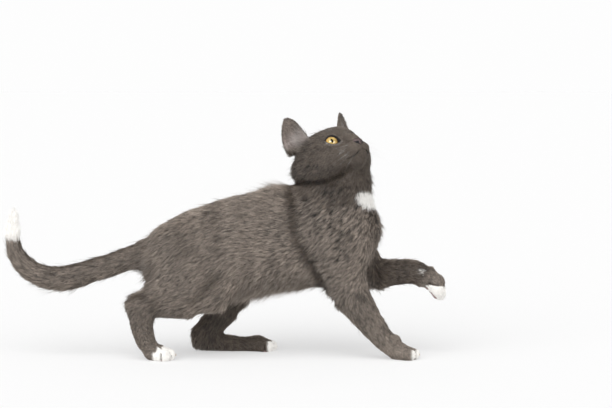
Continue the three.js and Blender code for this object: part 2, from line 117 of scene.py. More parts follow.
class Neighbours:  # averages over the vertices that share an edge
    def __init__(self, mesh):
        self.ends = readRows(mesh.edges, "vertices", np.int32, 2)
        self.count = len(mesh.vertices)
        self.links = np.maximum(np.bincount(self.ends.ravel(), minlength=self.count), 1)

    def average(self, values):
        a, b = self.ends[:, 0], self.ends[:, 1]
        columns = values.reshape(self.count, -1)
        out = np.empty_like(columns)
        for i in range(columns.shape[1]):
            column = columns[:, i]
            out[:, i] = (np.bincount(a, column[b], self.count) + np.bincount(b, column[a], self.count))
        return (out / self.links[:, None]).reshape(values.shape)

    def smoothed(self, values, rounds):
        for _ in range(rounds):
            values = self.average(values)
        return values


def turned(yaw, pitch, roll):  # columns point ahead, left and over
    axes = Matrix.Rotation(math.radians(yaw), 3, "Z") @ Matrix.Rotation(math.radians(-pitch), 3, "Y")
    return np.array(axes @ Matrix.Rotation(math.radians(roll), 3, "X"))


def middleOf(node):
    low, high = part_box(node)
    return np.array((low + high) / 2)


headSet = {"at": (33, -6, 224), "yaw": -52, "pitch": 31, "roll": 4, "eye": (14, 15.1, 4.4)}
headAxes = turned(headSet["yaw"], headSet["pitch"], headSet["roll"])
eyesMiddle = (middleOf("left_eye") + middleOf("right_eye")) / 2
headAt = eyesMiddle - headAxes @ (np.array([headSet["eye"][0], 0, headSet["eye"][2]]) * mm)
solidShift = headAt - np.array(headSet["at"]) * mm


def place(x, y, z):  # a point of the solids' own coordinates
    return solidShift + np.array([x, y, z]) * mm


def inHead(points):  # ahead, left and over, in mm
    return (points - headAt) @ headAxes / mm


def fromHead(local):
    return headAt + np.asarray(local, float) @ headAxes.T * mm


def toSolids(points):  # the solids' own coordinates, in mm
    return (points - solidShift) / mm


cameraSet = {"at": (0, -2000, 340), "target": (0, 0, 168), "lens": 107.35}
camera = addObject("camera", bpy.data.cameras.new("camera"))
camera.data.lens = cameraSet["lens"]
camera.data.sensor_width = 36
camera.data.clip_end = 50
camera.location = place(*cameraSet["at"])
aim = Vector(place(*cameraSet["target"]) - place(*cameraSet["at"]))
camera.rotation_euler = aim.to_track_quat("-Z", "Y").to_euler()
bpy.context.scene.camera = camera

# Where the skin lies under each part's outline, how much its facets are smoothed away, and the coat
# on it: which way the hair lies, its length and width, how far it lifts, and tufts per square mm.
coatColumns = ("lie", "depth", "rounds", "length", "width", "lift", "dense")
coatRows = {
    "head": ((-1, 0, -0.3), 1.8, 14, 5, 0.3, 12, 2.6),
    "lower_jaw": ((-1, 0, -1), 1.2, 12, 4, 0.3, 12, 2.6),
    "left_ear": ((0, 0, 1), 0.0, 6, 2.8, 0.24, 9, 2.6),
    "right_ear": ((0, 0, 1), 0.0, 6, 2.8, 0.24, 9, 2.6),
    "neck": ((-0.5, 0, -1), 3.6, 90, 7.5, 0.44, 15, 1.8),
    "chest": ((-1, 0, -0.4), 3.4, 150, 8.5, 0.46, 13, 1.5),
    "belly": ((-1, 0, 0.08), 3.2, 150, 10, 0.48, 9, 1.35),
    "rump": ((-1, 0, -0.08), 2.7, 150, 10, 0.48, 8, 1.35),
    "tail_base": ("tail", 1.9, 60, 11, 0.5, 8, 1.6),
    "tail_middle": ("tail", 1.9, 60, 11, 0.5, 8, 1.65),
    "tail_bend": ("tail", 1.9, 60, 10.5, 0.48, 9, 1.75),
    "tail_tip": ("tail", 0.4, 20, 9, 0.42, 10, 2.4),
    "right_thigh": ((-1, 0, -0.6), 2.6, 120, 9.5, 0.48, 9, 1.4),
    "left_thigh": ((-0.8, 0, -0.8), 2.6, 120, 9.5, 0.5, 9, 1.3),
    "right_shank": ((-1, 0, -0.35), 1.4, 60, 8, 0.44, 10, 1.7),
    "left_shank": ((-0.6, 0, -1), 1.6, 60, 8, 0.44, 10, 1.7),
    "right_hind_foot": ((0.1, 0, -1), 0.9, 40, 5, 0.36, 9, 2),
    "left_hind_foot": ((1, 0, -0.3), 1.2, 40, 5, 0.36, 9, 2),
    "right_hind_paw": ((1, 0, -0.7), 0.3, 8, 2.4, 0.28, 8, 2.6),
    "left_hind_paw": ((1, 0, -0.7), 0.3, 8, 2.4, 0.28, 8, 2.6),
    "right_upper_arm": ((-1, 0, -0.9), 3.0, 120, 8.5, 0.46, 12, 1.5),
    "left_upper_arm": ((0.3, 0, -1), 3.0, 120, 9, 0.5, 11, 1.35),
    "right_forearm": ((0.55, 0, -1), 1.7, 60, 7.5, 0.42, 9, 1.7),
    "left_forearm": ((1, 0, -0.1), 1.8, 60, 7.5, 0.42, 9, 1.7),
    "right_fore_paw": ((1, 0, -0.7), 0.3, 8, 2.4, 0.28, 8, 2.6),
    "left_fore_paw": ((0.6, 0, -0.8), 0.3, 8, 2.4, 0.28, 8, 2.6),
}
coatOn = {name: dict(zip(coatColumns, row)) for name, row in coatRows.items()}
fleshNodes = list(coatOn)


def mergedCopy(name, grow=0.0):  # a node's mesh with its doubles merged
    bm = bmesh.new()
    bm.from_mesh(nodes[name].data)
    bmesh.ops.remove_doubles(bm, verts=bm.verts, dist=0.01 * mm)
    bm.normal_update()
    for v in bm.verts:
        v.co += v.normal * grow
    return bm


skinSet = {"voxel": 0.9 * mm, "overlap": 0.5 * mm, "triangles": 150000, "headDepth": (0.5, 2.0),
           "blend": 30, "turnBlend": 6, "leanBlend": 40, "trunk": (80, 140), "back": -0.2, "belly": -2.2}


def drawnSkin():  # one closed surface round all the parts, lids and nose filled in
    joined = bmesh.new()
    for name in fleshNodes + ["left_eye", "right_eye", "nose"]:
        mesh = meshFrom(mergedCopy(name, skinSet["overlap"]), name)
        joined.from_mesh(mesh)
        bpy.data.meshes.remove(mesh)
    piece = addObject("skin", meshFrom(joined, "skin"))
    remesh = piece.modifiers.new("skin", "REMESH")
    remesh.mode = "VOXEL"
    remesh.voxel_size = skinSet["voxel"]
    applyModifiers(piece)
    return piece


def applyModifiers(piece):
    graph = bpy.context.evaluated_depsgraph_get()
    mesh = bpy.data.meshes.new_from_object(piece.evaluated_get(graph))
    piece.modifiers.clear()
    piece.data = mesh


def partTreeOf():  # finds the nearest part to a point
    corners, faces, owner = [], [], []
    for number, name in enumerate(fleshNodes):
        bm = mergedCopy(name)
        start = len(corners)
        corners.extend(v.co.copy() for v in bm.verts)
        bm.verts.index_update()
        for face in bm.faces:
            faces.append([start + v.index for v in face.verts])
            owner.append(number)
        bm.free()
    return BVHTree.FromPolygons(corners, faces), np.array(owner)


def partNumbers(points):
    return np.array([partOfFace[partTree.find_nearest(p)[2]] for p in points.tolist()])


skin = drawnSkin()
partTree, partOfFace = partTreeOf()
print("skin drawn:", len(skin.data.vertices), "vertices")


def perPart(numbers, what):
    return np.array([coatOn[name][what] for name in fleshNodes], float)[numbers]


def hairiness(local):  # 0 on the muzzle, 1 at the back of the head
    return rampUp(18, 68, awayFrom(local, (40, 0, -8)))


def isPart(numbers, *names):
    return np.isin(numbers, [fleshNodes.index(name) for name in names])


# Small shifts that bring the legs and tail to their place under the coat, in mm.
leanSet = {"right_upper_arm": (-2, 0, 0), "right_forearm": (-4, 0, 0), "right_shank": (-4, 0, 0),
           "right_hind_foot": (-2.6, 0, 0), "left_shank": (-2.5, 0, 0), "tail_base": (0, 0, 0.5),
           "tail_middle": (0.3, 0, 1.2), "tail_bend": (1, 0, 1)}


def smoothSkin(mesh):  # rounds the facets off, most on the trunk, and pulls the skin in under the coat
    points = pointsOf(mesh)
    numbers = partNumbers(points)
    near = Neighbours(mesh)
    rounds, depth = perPart(numbers, "rounds"), perPart(numbers, "depth")
    onHead = isPart(numbers, "head", "lower_jaw")
    least, more = skinSet["headDepth"]
    depth[onHead] = least + more * hairiness(inHead(points[onHead]))
    rounds, depth = (near.smoothed(values, skinSet["blend"]) for values in (rounds, depth))
    for step in range(int(rounds.max())):
        share = 0.5 * np.clip(rounds - step, 0, 1)[:, None]
        points += share * (near.average(points) - points)
    setPoints(mesh, points)
    normal = normalsOf(mesh)
    for _ in range(skinSet["turnBlend"]):
        normal = unit(near.average(normal))
    front, up = np.clip(normal[:, 0], 0, 1), normal[:, 2]
    slope = np.where(up > 0, skinSet["back"], skinSet["belly"]) * up
    depth += rampUp(*skinSet["trunk"], rounds) * (slope + front)
    points -= normal * depth[:, None] * mm
    lean = np.zeros_like(points)
    for name, shift in leanSet.items():
        lean[isPart(numbers, name)] = shift
    setPoints(mesh, points + near.smoothed(lean, skinSet["leanBlend"]) * mm)


smoothSkin(skin.data)
print("skin smoothed")


def thinSkin(piece):  # fewer triangles on the body, all of them kept on the head and paws
    numbers = partNumbers(pointsOf(piece.data))
    fine = isPart(numbers, *[name for name in fleshNodes if coatOn[name]["rounds"] < 20])
    group = piece.vertex_groups.new(name="coarse")
    group.add(np.nonzero(~fine)[0].tolist(), 1.0, "REPLACE")
    fewer = piece.modifiers.new("fewer", "DECIMATE")
    fewer.ratio = skinSet["triangles"] / (2 * len(piece.data.polygons))
    fewer.vertex_group = "coarse"
    applyModifiers(piece)
    piece.vertex_groups.clear()


thinSkin(skin)
print("skin thinned:", len(skin.data.vertices), "vertices", len(skin.data.polygons), "faces")


# Folds and creases of the coat, seen from the side, darkened with painted shade, and a few faint darker
# streaks
# on the flank: from and to (x, z), how wide, how dark and how deep the fold is, in mm.
foldLines = [
    ((-12, 189), (-10, 143), 7, 0.95, 1.4),  # behind the shoulder
    ((-10, 143), (-6, 133), 6, 0.7, 1.5),
    ((-6, 133), (4, 115), 5.5, 0.9, 2.5),
    ((4, 115), (22, 80), 5, 1, 3.8),  # behind the elbow
    ((-10, 193), (22, 196), 6.5, 1.2, 4.6),  # under the jaw
    ((22, 196), (41, 204), 6, 1.15, 3.6),
    ((41, 204), (49, 209), 5, 0.95, 1.8),
    ((38, 204), (46, 211), 9, 0.95, 0),
    ((21, 194), (31, 193), 7, 1, 0.5),
    ((14, 170), (52, 175), 2.4, 0.75, 1.2),
    ((27, 189), (29, 168), 2, 0.75, 1),
    ((45, 197), (42, 176), 2, 0.75, 1),
    ((-134, 150), (-128, 118), 9, 0.3, 0),
    ((-95, 168), (-92, 122), 7, 0.34, 0),
    ((-62, 160), (-60, 120), 7, 0.34, 0),
    ((-44, 170), (-44, 128), 5, 0.34, 0),
    ((-118, 66), (-96, 92), 8, 0.6, 1.5),  # in front of the thigh
    ((-190, 68), (-168, 72), 3, 0.9, 1.8),  # over the hock
    ((-164, 67), (-158, 54), 6, 0.6, 0.8),
    ((-122, 146), (-104, 96), 6, 0.3, 1),
]


def foldsAt(inSolids):  # how dark, with painted shade in the folds, and how deep the folds are
    flat = inSolids[:, [0, 2]]
    dark, deep = np.zeros(len(flat)), np.zeros(len(flat))
    for start, end, reach, amount, depth in foldLines:
        step = np.subtract(end, start)
        t = np.clip((flat - start) @ step / (step @ step), 0, 1)
        share = bump(np.linalg.norm(flat - start - t[:, None] * step, axis=1), reach)
        dark = np.maximum(dark, amount * share)
        deep = np.maximum(deep, depth * share)
    return dark, deep


def sculptFolds(mesh):
    at, normal = pointsOf(mesh), normalsOf(mesh)
    onBody = ~isPart(partNumbers(at), "left_ear", "right_ear")
    deep = foldsAt(toSolids(at))[1] * onBody * rampUp(0.1, 0.6, np.abs(normal[:, 1]))
    deep = Neighbours(mesh).smoothed(deep, 4)
    setPoints(mesh, at - normal * deep[:, None] * mm)


def refine(mesh, wanted):  # halves the edges of the faces whose middles are wanted
    bm = bmesh.new()
    bm.from_mesh(mesh)
    bm.faces.ensure_lookup_table()
    middles = np.array([face.calc_center_median() for face in bm.faces])
    chosen = [bm.faces[i] for i in np.nonzero(wanted(inHead(middles)))[0].tolist()]
    edges = list({edge for face in chosen for edge in face.edges})
    bmesh.ops.subdivide_edges(bm, edges=edges, cuts=1, use_grid_fill=True)
    bmesh.ops.triangulate(bm, faces=[face for face in bm.faces if len(face.verts) > 4])
    bm.to_mesh(mesh)
    bm.free()


pawSet = {
    "right_fore_paw": dict(at=(103, -25, 6.3), yaw=-4, pitch=0, white=16.5),
    "left_fore_paw": dict(at=(140.5, 23, 77), yaw=3, pitch=-52, white=0),
    "right_hind_paw": dict(at=(-163, -30, 6.3), yaw=-5, pitch=0, white=1),
    "left_hind_paw": dict(at=(-54, 30, 6.3), yaw=4, pitch=0, white=14),
}
toeSet = {"apart": 6.3, "reach": 12.5, "setBack": 4.5, "groove": 2.6, "width": 1.1, "outer": 6.8}
# The gap over the lower toes of the raised paw, carved and darkened with painted shadow of the knuckles
# above,
# and where its knuckles and toes swell: place, reach, height.
curlSet = {"x": 137, "z": 78, "long": 13, "fall": 3, "width": 1.5, "fade": 0.7}
swellings = (((151, 23, 84), 9, 1.8), ((157, 23, 78), 9.5, 3.8))


def inPaw(name, at):  # ahead, left and over, from the middle of a paw, in mm
    paw = pawSet[name]
    return (at - paw["at"]) @ turned(paw["yaw"], paw["pitch"], 0)


def betweenToes(name, at):  # 1 in the gaps between the toes, which are carved and darkened with painted shade
    ahead, left, over = inPaw(name, at).T
    apart = toeSet["apart"]
    gap = np.min([np.abs(left - i * apart) for i in (-1, 0, 1)], axis=0)
    gap = bump(gap, toeSet["width"]) * rampUp(3, 10, ahead)
    if "hind" in name:  # the outer toes end well behind the middle ones
        beside = rampUp(apart - 1.5, apart + 0.5, np.abs(left)) * (1 - rampUp(2, 4.5, over))
        gap = np.maximum(gap, bump(ahead - toeSet["outer"], 0.9) * beside)
    if name == "left_fore_paw":  # the lower toes are parted from the curled ones above
        x, z = at[:, 0] - curlSet["x"], at[:, 2] - curlSet["z"]
        along = np.clip(x / curlSet["long"], 0, 1)
        line = np.hypot(x - curlSet["long"] * along, z + curlSet["fall"] * along)
        gap = np.maximum(gap, bump(line, curlSet["width"]) * (1 - curlSet["fade"] * along))
    return gap


def sculptPaws(mesh):
    at, normal = pointsOf(mesh), normalsOf(mesh)
    numbers = partNumbers(at)
    for name in pawSet:
        deep = toeSet["groove"] * betweenToes(name, toSolids(at)) * isPart(numbers, name)
        at -= normal * deep[:, None] * mm
    swell = sum(height * bump(awayFrom(toSolids(at), middle), reach) for middle, reach, height in swellings)
    at += normal * (swell * isPart(numbers, "left_fore_paw", "left_forearm"))[:, None] * mm
    setPoints(mesh, at)


# Half sizes of the opening between the lids, and the eye's way of looking, in the head's mm.
eyeSet = {"radius": 9.4, "inner": 8.6, "outer": 7.6, "top": 5.5, "bottom": 4.9, "slant": 0.42,
          "look": (0.93, 0.3, 0.2), "lid": 0.9, "bend": (2.6, 1.5)}


def eyeFrame(side):  # centre, then the outward, upward and looking directions
    centre = np.array(headSet["eye"]) * (1, side, 1)
    look = unit(np.array(eyeSet["look"]) * (1, side, 1))
    outward = np.array([-eyeSet["look"][1], side * eyeSet["look"][0], eyeSet["slant"]])
    outward = unit(outward - (outward @ look) * look)
    return centre, outward, unit(np.cross(look, outward)) * side, look


def lidDistance(local, side):  # mm from the edge of the opening, below zero inside it, and the height
    centre, outward, over, look = eyeFrame(side)
    q = local - centre
    a, b = q @ outward, q @ over
    wide = np.where(a > 0, eyeSet["outer"], eyeSet["inner"])
    arch = 1 - (a / wide) ** 2
    slope = 2 * np.clip(np.abs(a), 0, wide) / wide**2
    power = np.where(a > 0, *eyeSet["bend"])  # the upper lid runs straighter to the inner corner
    ratio = np.abs(a) / wide
    steep = eyeSet["top"] * power * np.minimum(ratio, 1) ** (power - 1) / wide
    above = (b - eyeSet["top"] * (1 - ratio**power)) / np.hypot(1, steep)
    below = (-b - eyeSet["bottom"] * arch) / np.hypot(1, slope * eyeSet["bottom"])
    away = np.maximum(above, below)
    return np.where(q @ look > 1, away, 20), above > below


# The upper lip's edge from under the nose to the corner of the mouth, on the left side, in the head's mm.
lipLine = ((40.5, 0, -15.3), (39.2, 5, -17.7), (36.6, 9, -19.9), (31.2, 12, -20.7), (25.6, 15, -19.2))


def smoothLine(points, steps=12):  # a curve through the points
    points = np.asarray(points, float)
    padded = np.vstack([2 * points[0] - points[1], points, 2 * points[-1] - points[-2]])
    t = np.linspace(0, 1, steps, endpoint=False)[:, None]
    out = []
    for a, b, c, d in zip(padded, padded[1:], padded[2:], padded[3:]):
        out.append(b + 0.5 * t * (c - a + t * (2 * a - 5 * b + 4 * c - d + t * (3 * (b - c) + d - a))))
    return np.vstack(out + [points[-1:]])


def lipDistance(local):  # mm from the line of the lips, and how far over it
    line = smoothLine(lipLine)
    mirrored = np.column_stack([local[:, 0], np.abs(local[:, 1]), local[:, 2]])
    away = np.full(len(local), 50.0)
    over = np.zeros(len(local))
    near = np.nonzero(np.linalg.norm(mirrored - (33, 9, -18), axis=1) < 22)[0]
    gaps = mirrored[near, None] - line[None]
    distance = np.linalg.norm(gaps, axis=2)
    nearest = distance.argmin(axis=1)
    away[near] = distance[np.arange(len(near)), nearest]
    over[near] = gaps[np.arange(len(near)), nearest, 2]
    return away, over


def toLids(local):
    return np.minimum(lidDistance(local, 1)[0], lidDistance(local, -1)[0])


def nearFace(local):
    return (toLids(local) < 5.5) | (lipDistance(local)[0] < 2.5) | (local[:, 0] > 35)


def nearEdges(local):
    return np.abs(toLids(local)) < 1.3


# Ridges and grooves of the face, in the head's mm: height, distance and width, the upper lid's first.
faceSet = {"lips": (1.4, 0, 0.7), "lipRoll": (0.5, 1.8, 1.2), "pad": (33.5, 8.2, -13),
           "padRise": (1.1, 0, 6.5), "noseBed": (38.1, 0, -7), "noseHalf": (5.8, 6.5, 5.2), "noseDeep": 1.3,
           "lidFold": ((0.55, 3, 0.8), (0.3, 2.6, 0.9)), "lidRoll": ((0.3, 1.3, 1), (0.25, 1, 0.9))}


def sculptFace(mesh):
    points, normal = pointsOf(mesh), normalsOf(mesh) @ headAxes
    local = inHead(points)
    onFace = local[:, 0] > 2
    lips, over = lipDistance(local)
    push = ridge(lips, *faceSet["lipRoll"]) * (over > 0) - ridge(lips, *faceSet["lips"])
    ahead, left, up = local.T
    for side in (1, -1):
        push += ridge(awayFrom(local, np.multiply(faceSet["pad"], (1, side, 1))), *faceSet["padRise"])
    philtrum = rampUp(31, 34, ahead) * rampUp(-18, -16.5, up) * (1 - rampUp(-11, -9.5, up))
    push -= bump(left, 0.7) * philtrum
    noseBed = awayFrom(local, faceSet["noseBed"], faceSet["noseHalf"])
    push -= faceSet["noseDeep"] * (1 - rampUp(0.8, 1.1, noseBed))
    for side in (1, -1):
        away, isAbove = lidDistance(local, side)
        for what, sign in (("lidFold", -1), ("lidRoll", 1)):
            upper, lower = faceSet[what]
            push += sign * np.where(isAbove, ridge(away, *upper), ridge(away, *lower))
    local = local + normal * (push * onFace)[:, None]
    for side in (1, -1):
        centre = eyeFrame(side)[0]
        away, _ = lidDistance(local, side)
        q = local - centre
        radius = np.linalg.norm(q, axis=1)
        lid = eyeSet["radius"] + eyeSet["lid"] * rampUp(-0.3, 0.8, away)
        wanted = np.where(away < 0.12, eyeSet["radius"] - 0.9, np.maximum(radius, lid))
        near = away < 5
        local[near] = centre + q[near] * (wanted / radius)[near, None]
    setPoints(mesh, fromHead(local))


sculptFolds(skin.data)
refine(skin.data, nearFace)
refine(skin.data, nearEdges)
sculptFace(skin.data)
sculptPaws(skin.data)
print("face shaped:", len(skin.data.vertices), "vertices")

# What is known of every point of the skin, for the marks and the lie of the coat.
points, normal = pointsOf(skin.data), normalsOf(skin.data)
numbers = partNumbers(points)
near = Neighbours(skin.data)
local, inSolids = inHead(points), toSolids(points)
onHead = isPart(numbers, "head", "lower_jaw")
onEar = isPart(numbers, "left_ear", "right_ear")

tailLine = ((-150, 0, 119), (-168, 0, 115.5), (-196, 0, 107), (-227, 0, 96), (-261, 1, 86),
            (-288, 2, 86.5), (-310, 3, 97), (-323, 4, 117), (-324, 4, 138), (-322.5, 4, 160))


def tailWay(at):  # along the tail, towards its tip
    line = smoothLine(tailLine, 6)
    middles, ways = (line[1:] + line[:-1]) / 2, unit(line[1:] - line[:-1])
    nearest = np.linalg.norm(at[:, None] - middles[None], axis=2).argmin(axis=1)
    return ways[nearest]


earSet = {"left_ear": ((-16, 27, 15), (-11, 41.5, 53)), "right_ear": ((-14, -30.5, 15), (-10.5, -38.5, 54))}


def earFrame(name):  # root, then up the ear, out of its cup and across it, in the head's mm
    root, tip = (np.array(end, float) for end in earSet[name])
    rise = unit(tip - root)
    front = np.array([0.8, 0.6 * np.sign(tip[1]), 0])
    opening = unit(front - (front @ rise) * rise)
    return root, rise, opening, np.cross(rise, opening) * np.sign(tip[1])


def lieOfHair():
    way = np.zeros_like(points)
    for number, name in enumerate(fleshNodes):
        mine = numbers == number
        lie = coatOn[name]["lie"]
        way[mine] = tailWay(inSolids[mine]) if lie == "tail" else unit(np.array(lie, float))
    low = (1 - rampUp(80, 112, inSolids[:, 2])) * isPart(numbers, "chest", "belly")
    way[:, 2] -= 3 * low
    back = unit(local - (46, 0, -2)) + np.array([-0.25, 0, 0])
    way[onHead] = (unit(back) @ headAxes.T)[onHead]
    for name in earSet:
        mine = isPart(numbers, name)
        root, rise, opening, across = earFrame(name)
        inner = rampUp(0.1, 0.4, (normal[mine] @ headAxes) @ opening)[:, None]
        way[mine] = (rise + across * inner) @ headAxes.T
    return way


def smoothedWay(way, rounds=22):
    for _ in range(rounds):
        way = unit(way - (way * normal).sum(1)[:, None] * normal)
        way = 0.4 * way + 0.6 * near.average(way)
    return unit(way - (way * normal).sum(1)[:, None] * normal)


way = smoothedWay(lieOfHair())
hairy = hairiness(local)
# The coat of the head: at the muzzle, and what is added towards the back.
headCoat = {"length": (1.7, 7.3), "width": (0.21, 0.25), "dense": (4.6, -2.8)}
coat = {}
for what in ("length", "width", "lift", "dense"):
    values = perPart(numbers, what)
    if what in headCoat:
        least, more = headCoat[what]
        values = np.where(onHead, least + more * hairy, values)
    coat[what] = near.smoothed(values, 24)

# Where the coat stands out: place and reach in the solids' own coordinates, then added length and lift.
fluff = (
    ((-21, 0, 189), (29, 40, 10), 12, 48),  # withers
    ((-25, 0, 72), (70, 30, 14), 7, 32),  # belly
    ((-172, -20, 96), (16, 26, 30), 4, 22),  # back of the thigh
    ((-110, -25, 62), (46, 20, 8), 2, 14),  # edge of the thigh
    ((86, 0, 150), (14, 34, 44), 0.5, 30),  # chest
    ((66, -6, 200), (13, 26, 19), 2.4, 19),  # throat
    ((-16, -26, 220), (11, 18, 11), 2.6, 8),  # foot of the ear
    ((-270, 0, 74), (40, 20, 10), 2, 8),  # underside of the tail
)
for middle, reach, length, lift in fluff:
    share = bump(awayFrom(inSolids, middle, reach), 1)
    coat["length"] += length * share
    coat["lift"] += lift * share

# Rows of whiskers on the pad, on the left side, in the head's mm.
whiskerRows = ((37.5, 8.6, -7.6), (34.5, 11.2, -8), (31.5, 13, -8.6), (28.6, 14.6, -9.4), (38, 8.4, -10.6),
               (35, 11, -11.2), (32, 12.8, -11.8), (29, 14.4, -12.4), (37.4, 8.6, -13.6), (34.4, 11, -14.4),
               (31.4, 12.8, -15), (36, 9.4, -16.6), (33, 11.4, -17.6))
whiskerRoots = np.array([np.multiply(root, (1, side, 1)) for side in (1, -1) for root in whiskerRows])
skinTree = treeOf(local)
whiskerRoots = np.array([skinTree.find(root)[0] for root in whiskerRoots.tolist()])

# Painted shade on whole parts, from 0 to 1: it darkens the head, the neck under it, the chest, the near legs
# and the tail beyond what the lamps do; the ears' values are replaced further on.
paintedShadeOfParts = (
    (("head", "lower_jaw"), 0.58), (("neck",), 0.6), (("chest",), 0.2), (("right_upper_arm",), 0.03),
    (("right_thigh",), 0.1), (("right_forearm",), 0.16), (("right_shank", "right_hind_foot"), 0.3),
    (("tail_base", "tail_middle", "tail_bend"), 0.36), (("left_ear", "right_ear"), 0.45),
)
farLegs = ("left_hind_paw", "left_shank", "left_hind_foot", "left_forearm", "left_thigh", "left_upper_arm")
# Painted shade under the chin, on the far legs' sides that face the body, at the far foreleg's root under the
# chest and over the chest near the bib; the other entries darken the top of the tail, faint ribs on the
# flank, the ears and dots at the whisker roots.
shadeSet = {"chin": 0.1, "farLegs": 0.76, "armRoot": 1.1, "armRootAt": (81, 91), "armRootReach": (12, 15),
            "tailTop": 0.9, "bib": 0.24, "bibAt": (62, 158), "bibReach": (18, 28), "rib": 0.17, "ribGap": 14,
            "ribMiddle": -48, "ribReach": 62, "earBack": 0.55, "earCup": 0.95, "dot": 0.9}
whiteSet = {"tailTip": (118, 128), "wristAt": (125, 92), "wrist": 4.5, "bibAt": (66, -13, 176),
            "bibHalf": (15, 26, 9), "lid": 0.2, "ear": 0.2}
tearSet = {"inward": 10.2, "at": (7.6, 0, 0.4), "half": (2.4, 1.8, 1.2)}  # the dark inner corner of the eye
nosePadSet = {"at": (38.1, 0, -7), "half": (5.7, 6.4, 5.1)}
toeGaps = [betweenToes(name, inSolids) * isPart(numbers, name) for name in pawSet]


def spotAt(middle, reach):  # distance in the side view, in reaches
    return np.hypot((inSolids[:, 0] - middle[0]) / reach[0], (inSolids[:, 2] - middle[1]) / reach[1])


def earParts():  # for each ear: its points, how they face its opening, and how far up and across it
    for name in earSet:
        root, rise, opening, across = earFrame(name)
        facing = (normal @ headAxes) @ opening
        yield isPart(numbers, name), facing, (local - root) @ rise, (local - root) @ across


def whiteMarks():
    x, y, z = inSolids.T
    white = rampUp(*whiteSet["tailTip"], z) * (x < -300)
    for name in pawSet:
        ahead, left, over = inPaw(name, inSolids).T
        ahead = ahead + toeSet["setBack"] * (np.abs(left) > toeSet["apart"])
        if name == "left_fore_paw":
            ahead = ahead - 14 * rampUp(75.5, 78.5, z + 0.17 * (x - 137))
        if "hind" in name:
            ahead = ahead - 8 * rampUp(2.5, 5.5, over) * (1 - rampUp(4, 8, ahead))
        white = np.maximum(white, rampUp(-1.5, 2, ahead - pawSet[name]["white"]) * isPart(numbers, name))
    wrist = 1 - rampUp(0.6, 1.2, spotAt(whiteSet["wristAt"], (whiteSet["wrist"], whiteSet["wrist"])))
    onArmEnd = isPart(numbers, "left_forearm", "left_fore_paw") * (normal[:, 1] < -0.3)
    white = np.maximum(white, 0.5 * wrist * onArmEnd)
    (bibX, bibY, bibZ), (long, wide, high) = whiteSet["bibAt"], whiteSet["bibHalf"]
    bib = np.hypot((0.8 * (x - bibX) - 0.6 * (z - bibZ)) / long, (0.6 * (x - bibX) + 0.8 * (z - bibZ)) / high)
    white = np.maximum(white, 1 - rampUp(0.55, 1.3, np.hypot(bib, (y - bibY) / wide)))
    for side in (1, -1):
        away, isAbove = lidDistance(local, side)
        white = np.maximum(white, ridge(away, whiteSet["lid"], 1.5, 0.6) * ~isAbove)
    for mine, facing, tall, across in earParts():
        glow = bump(np.hypot(tall - 13, across), 8) * rampUp(0.2, 0.6, facing) * mine
        white = np.maximum(white, whiteSet["ear"] * glow)
    # no white in the gaps between the toes, where painted shade lies
    for gap in toeGaps:
        white = white * (1 - rampUp(0.3, 0.7, gap))
    return white


def pinkMarks():  # the ears' cups, less towards their tips
    pink = np.zeros(len(points))
    for mine, facing, tall, _ in earParts():
        cup = rampUp(0.2, 0.55, facing) * rampUp(3, 11, tall) * (1 - 0.7 * rampUp(11, 27, tall))
        pink = np.maximum(pink, cup * mine)
    return pink


def bareMarks():  # lips, lids and the edge of the nose, where no hair grows
    bare = 1 - rampUp(0.6, 1.25, lipDistance(local)[0])
    for side in (1, -1):
        away, isAbove = lidDistance(local, side)
        centre, outward, _, _ = eyeFrame(side)
        # the far eye's dark upper band is wider towards the inner corner: painted shade
        inward = rampUp(0, -4, (local - centre) @ outward) * (2.4 if side > 0 else 0)
        above = rampUp(1.1, 1.8, away - inward)
        bare = np.maximum(bare, 1 - np.where(isAbove, above, rampUp(0.3, 0.8, away)))
        corner = awayFrom(local - centre + outward * tearSet["inward"], tearSet["at"], tearSet["half"])
        bare = np.maximum(bare, 1 - rampUp(0.7, 1.2, corner))
    nosePad = awayFrom(local, nosePadSet["at"], nosePadSet["half"])
    return np.maximum(bare, (1 - rampUp(0.9, 1.05, nosePad)) * onHead)


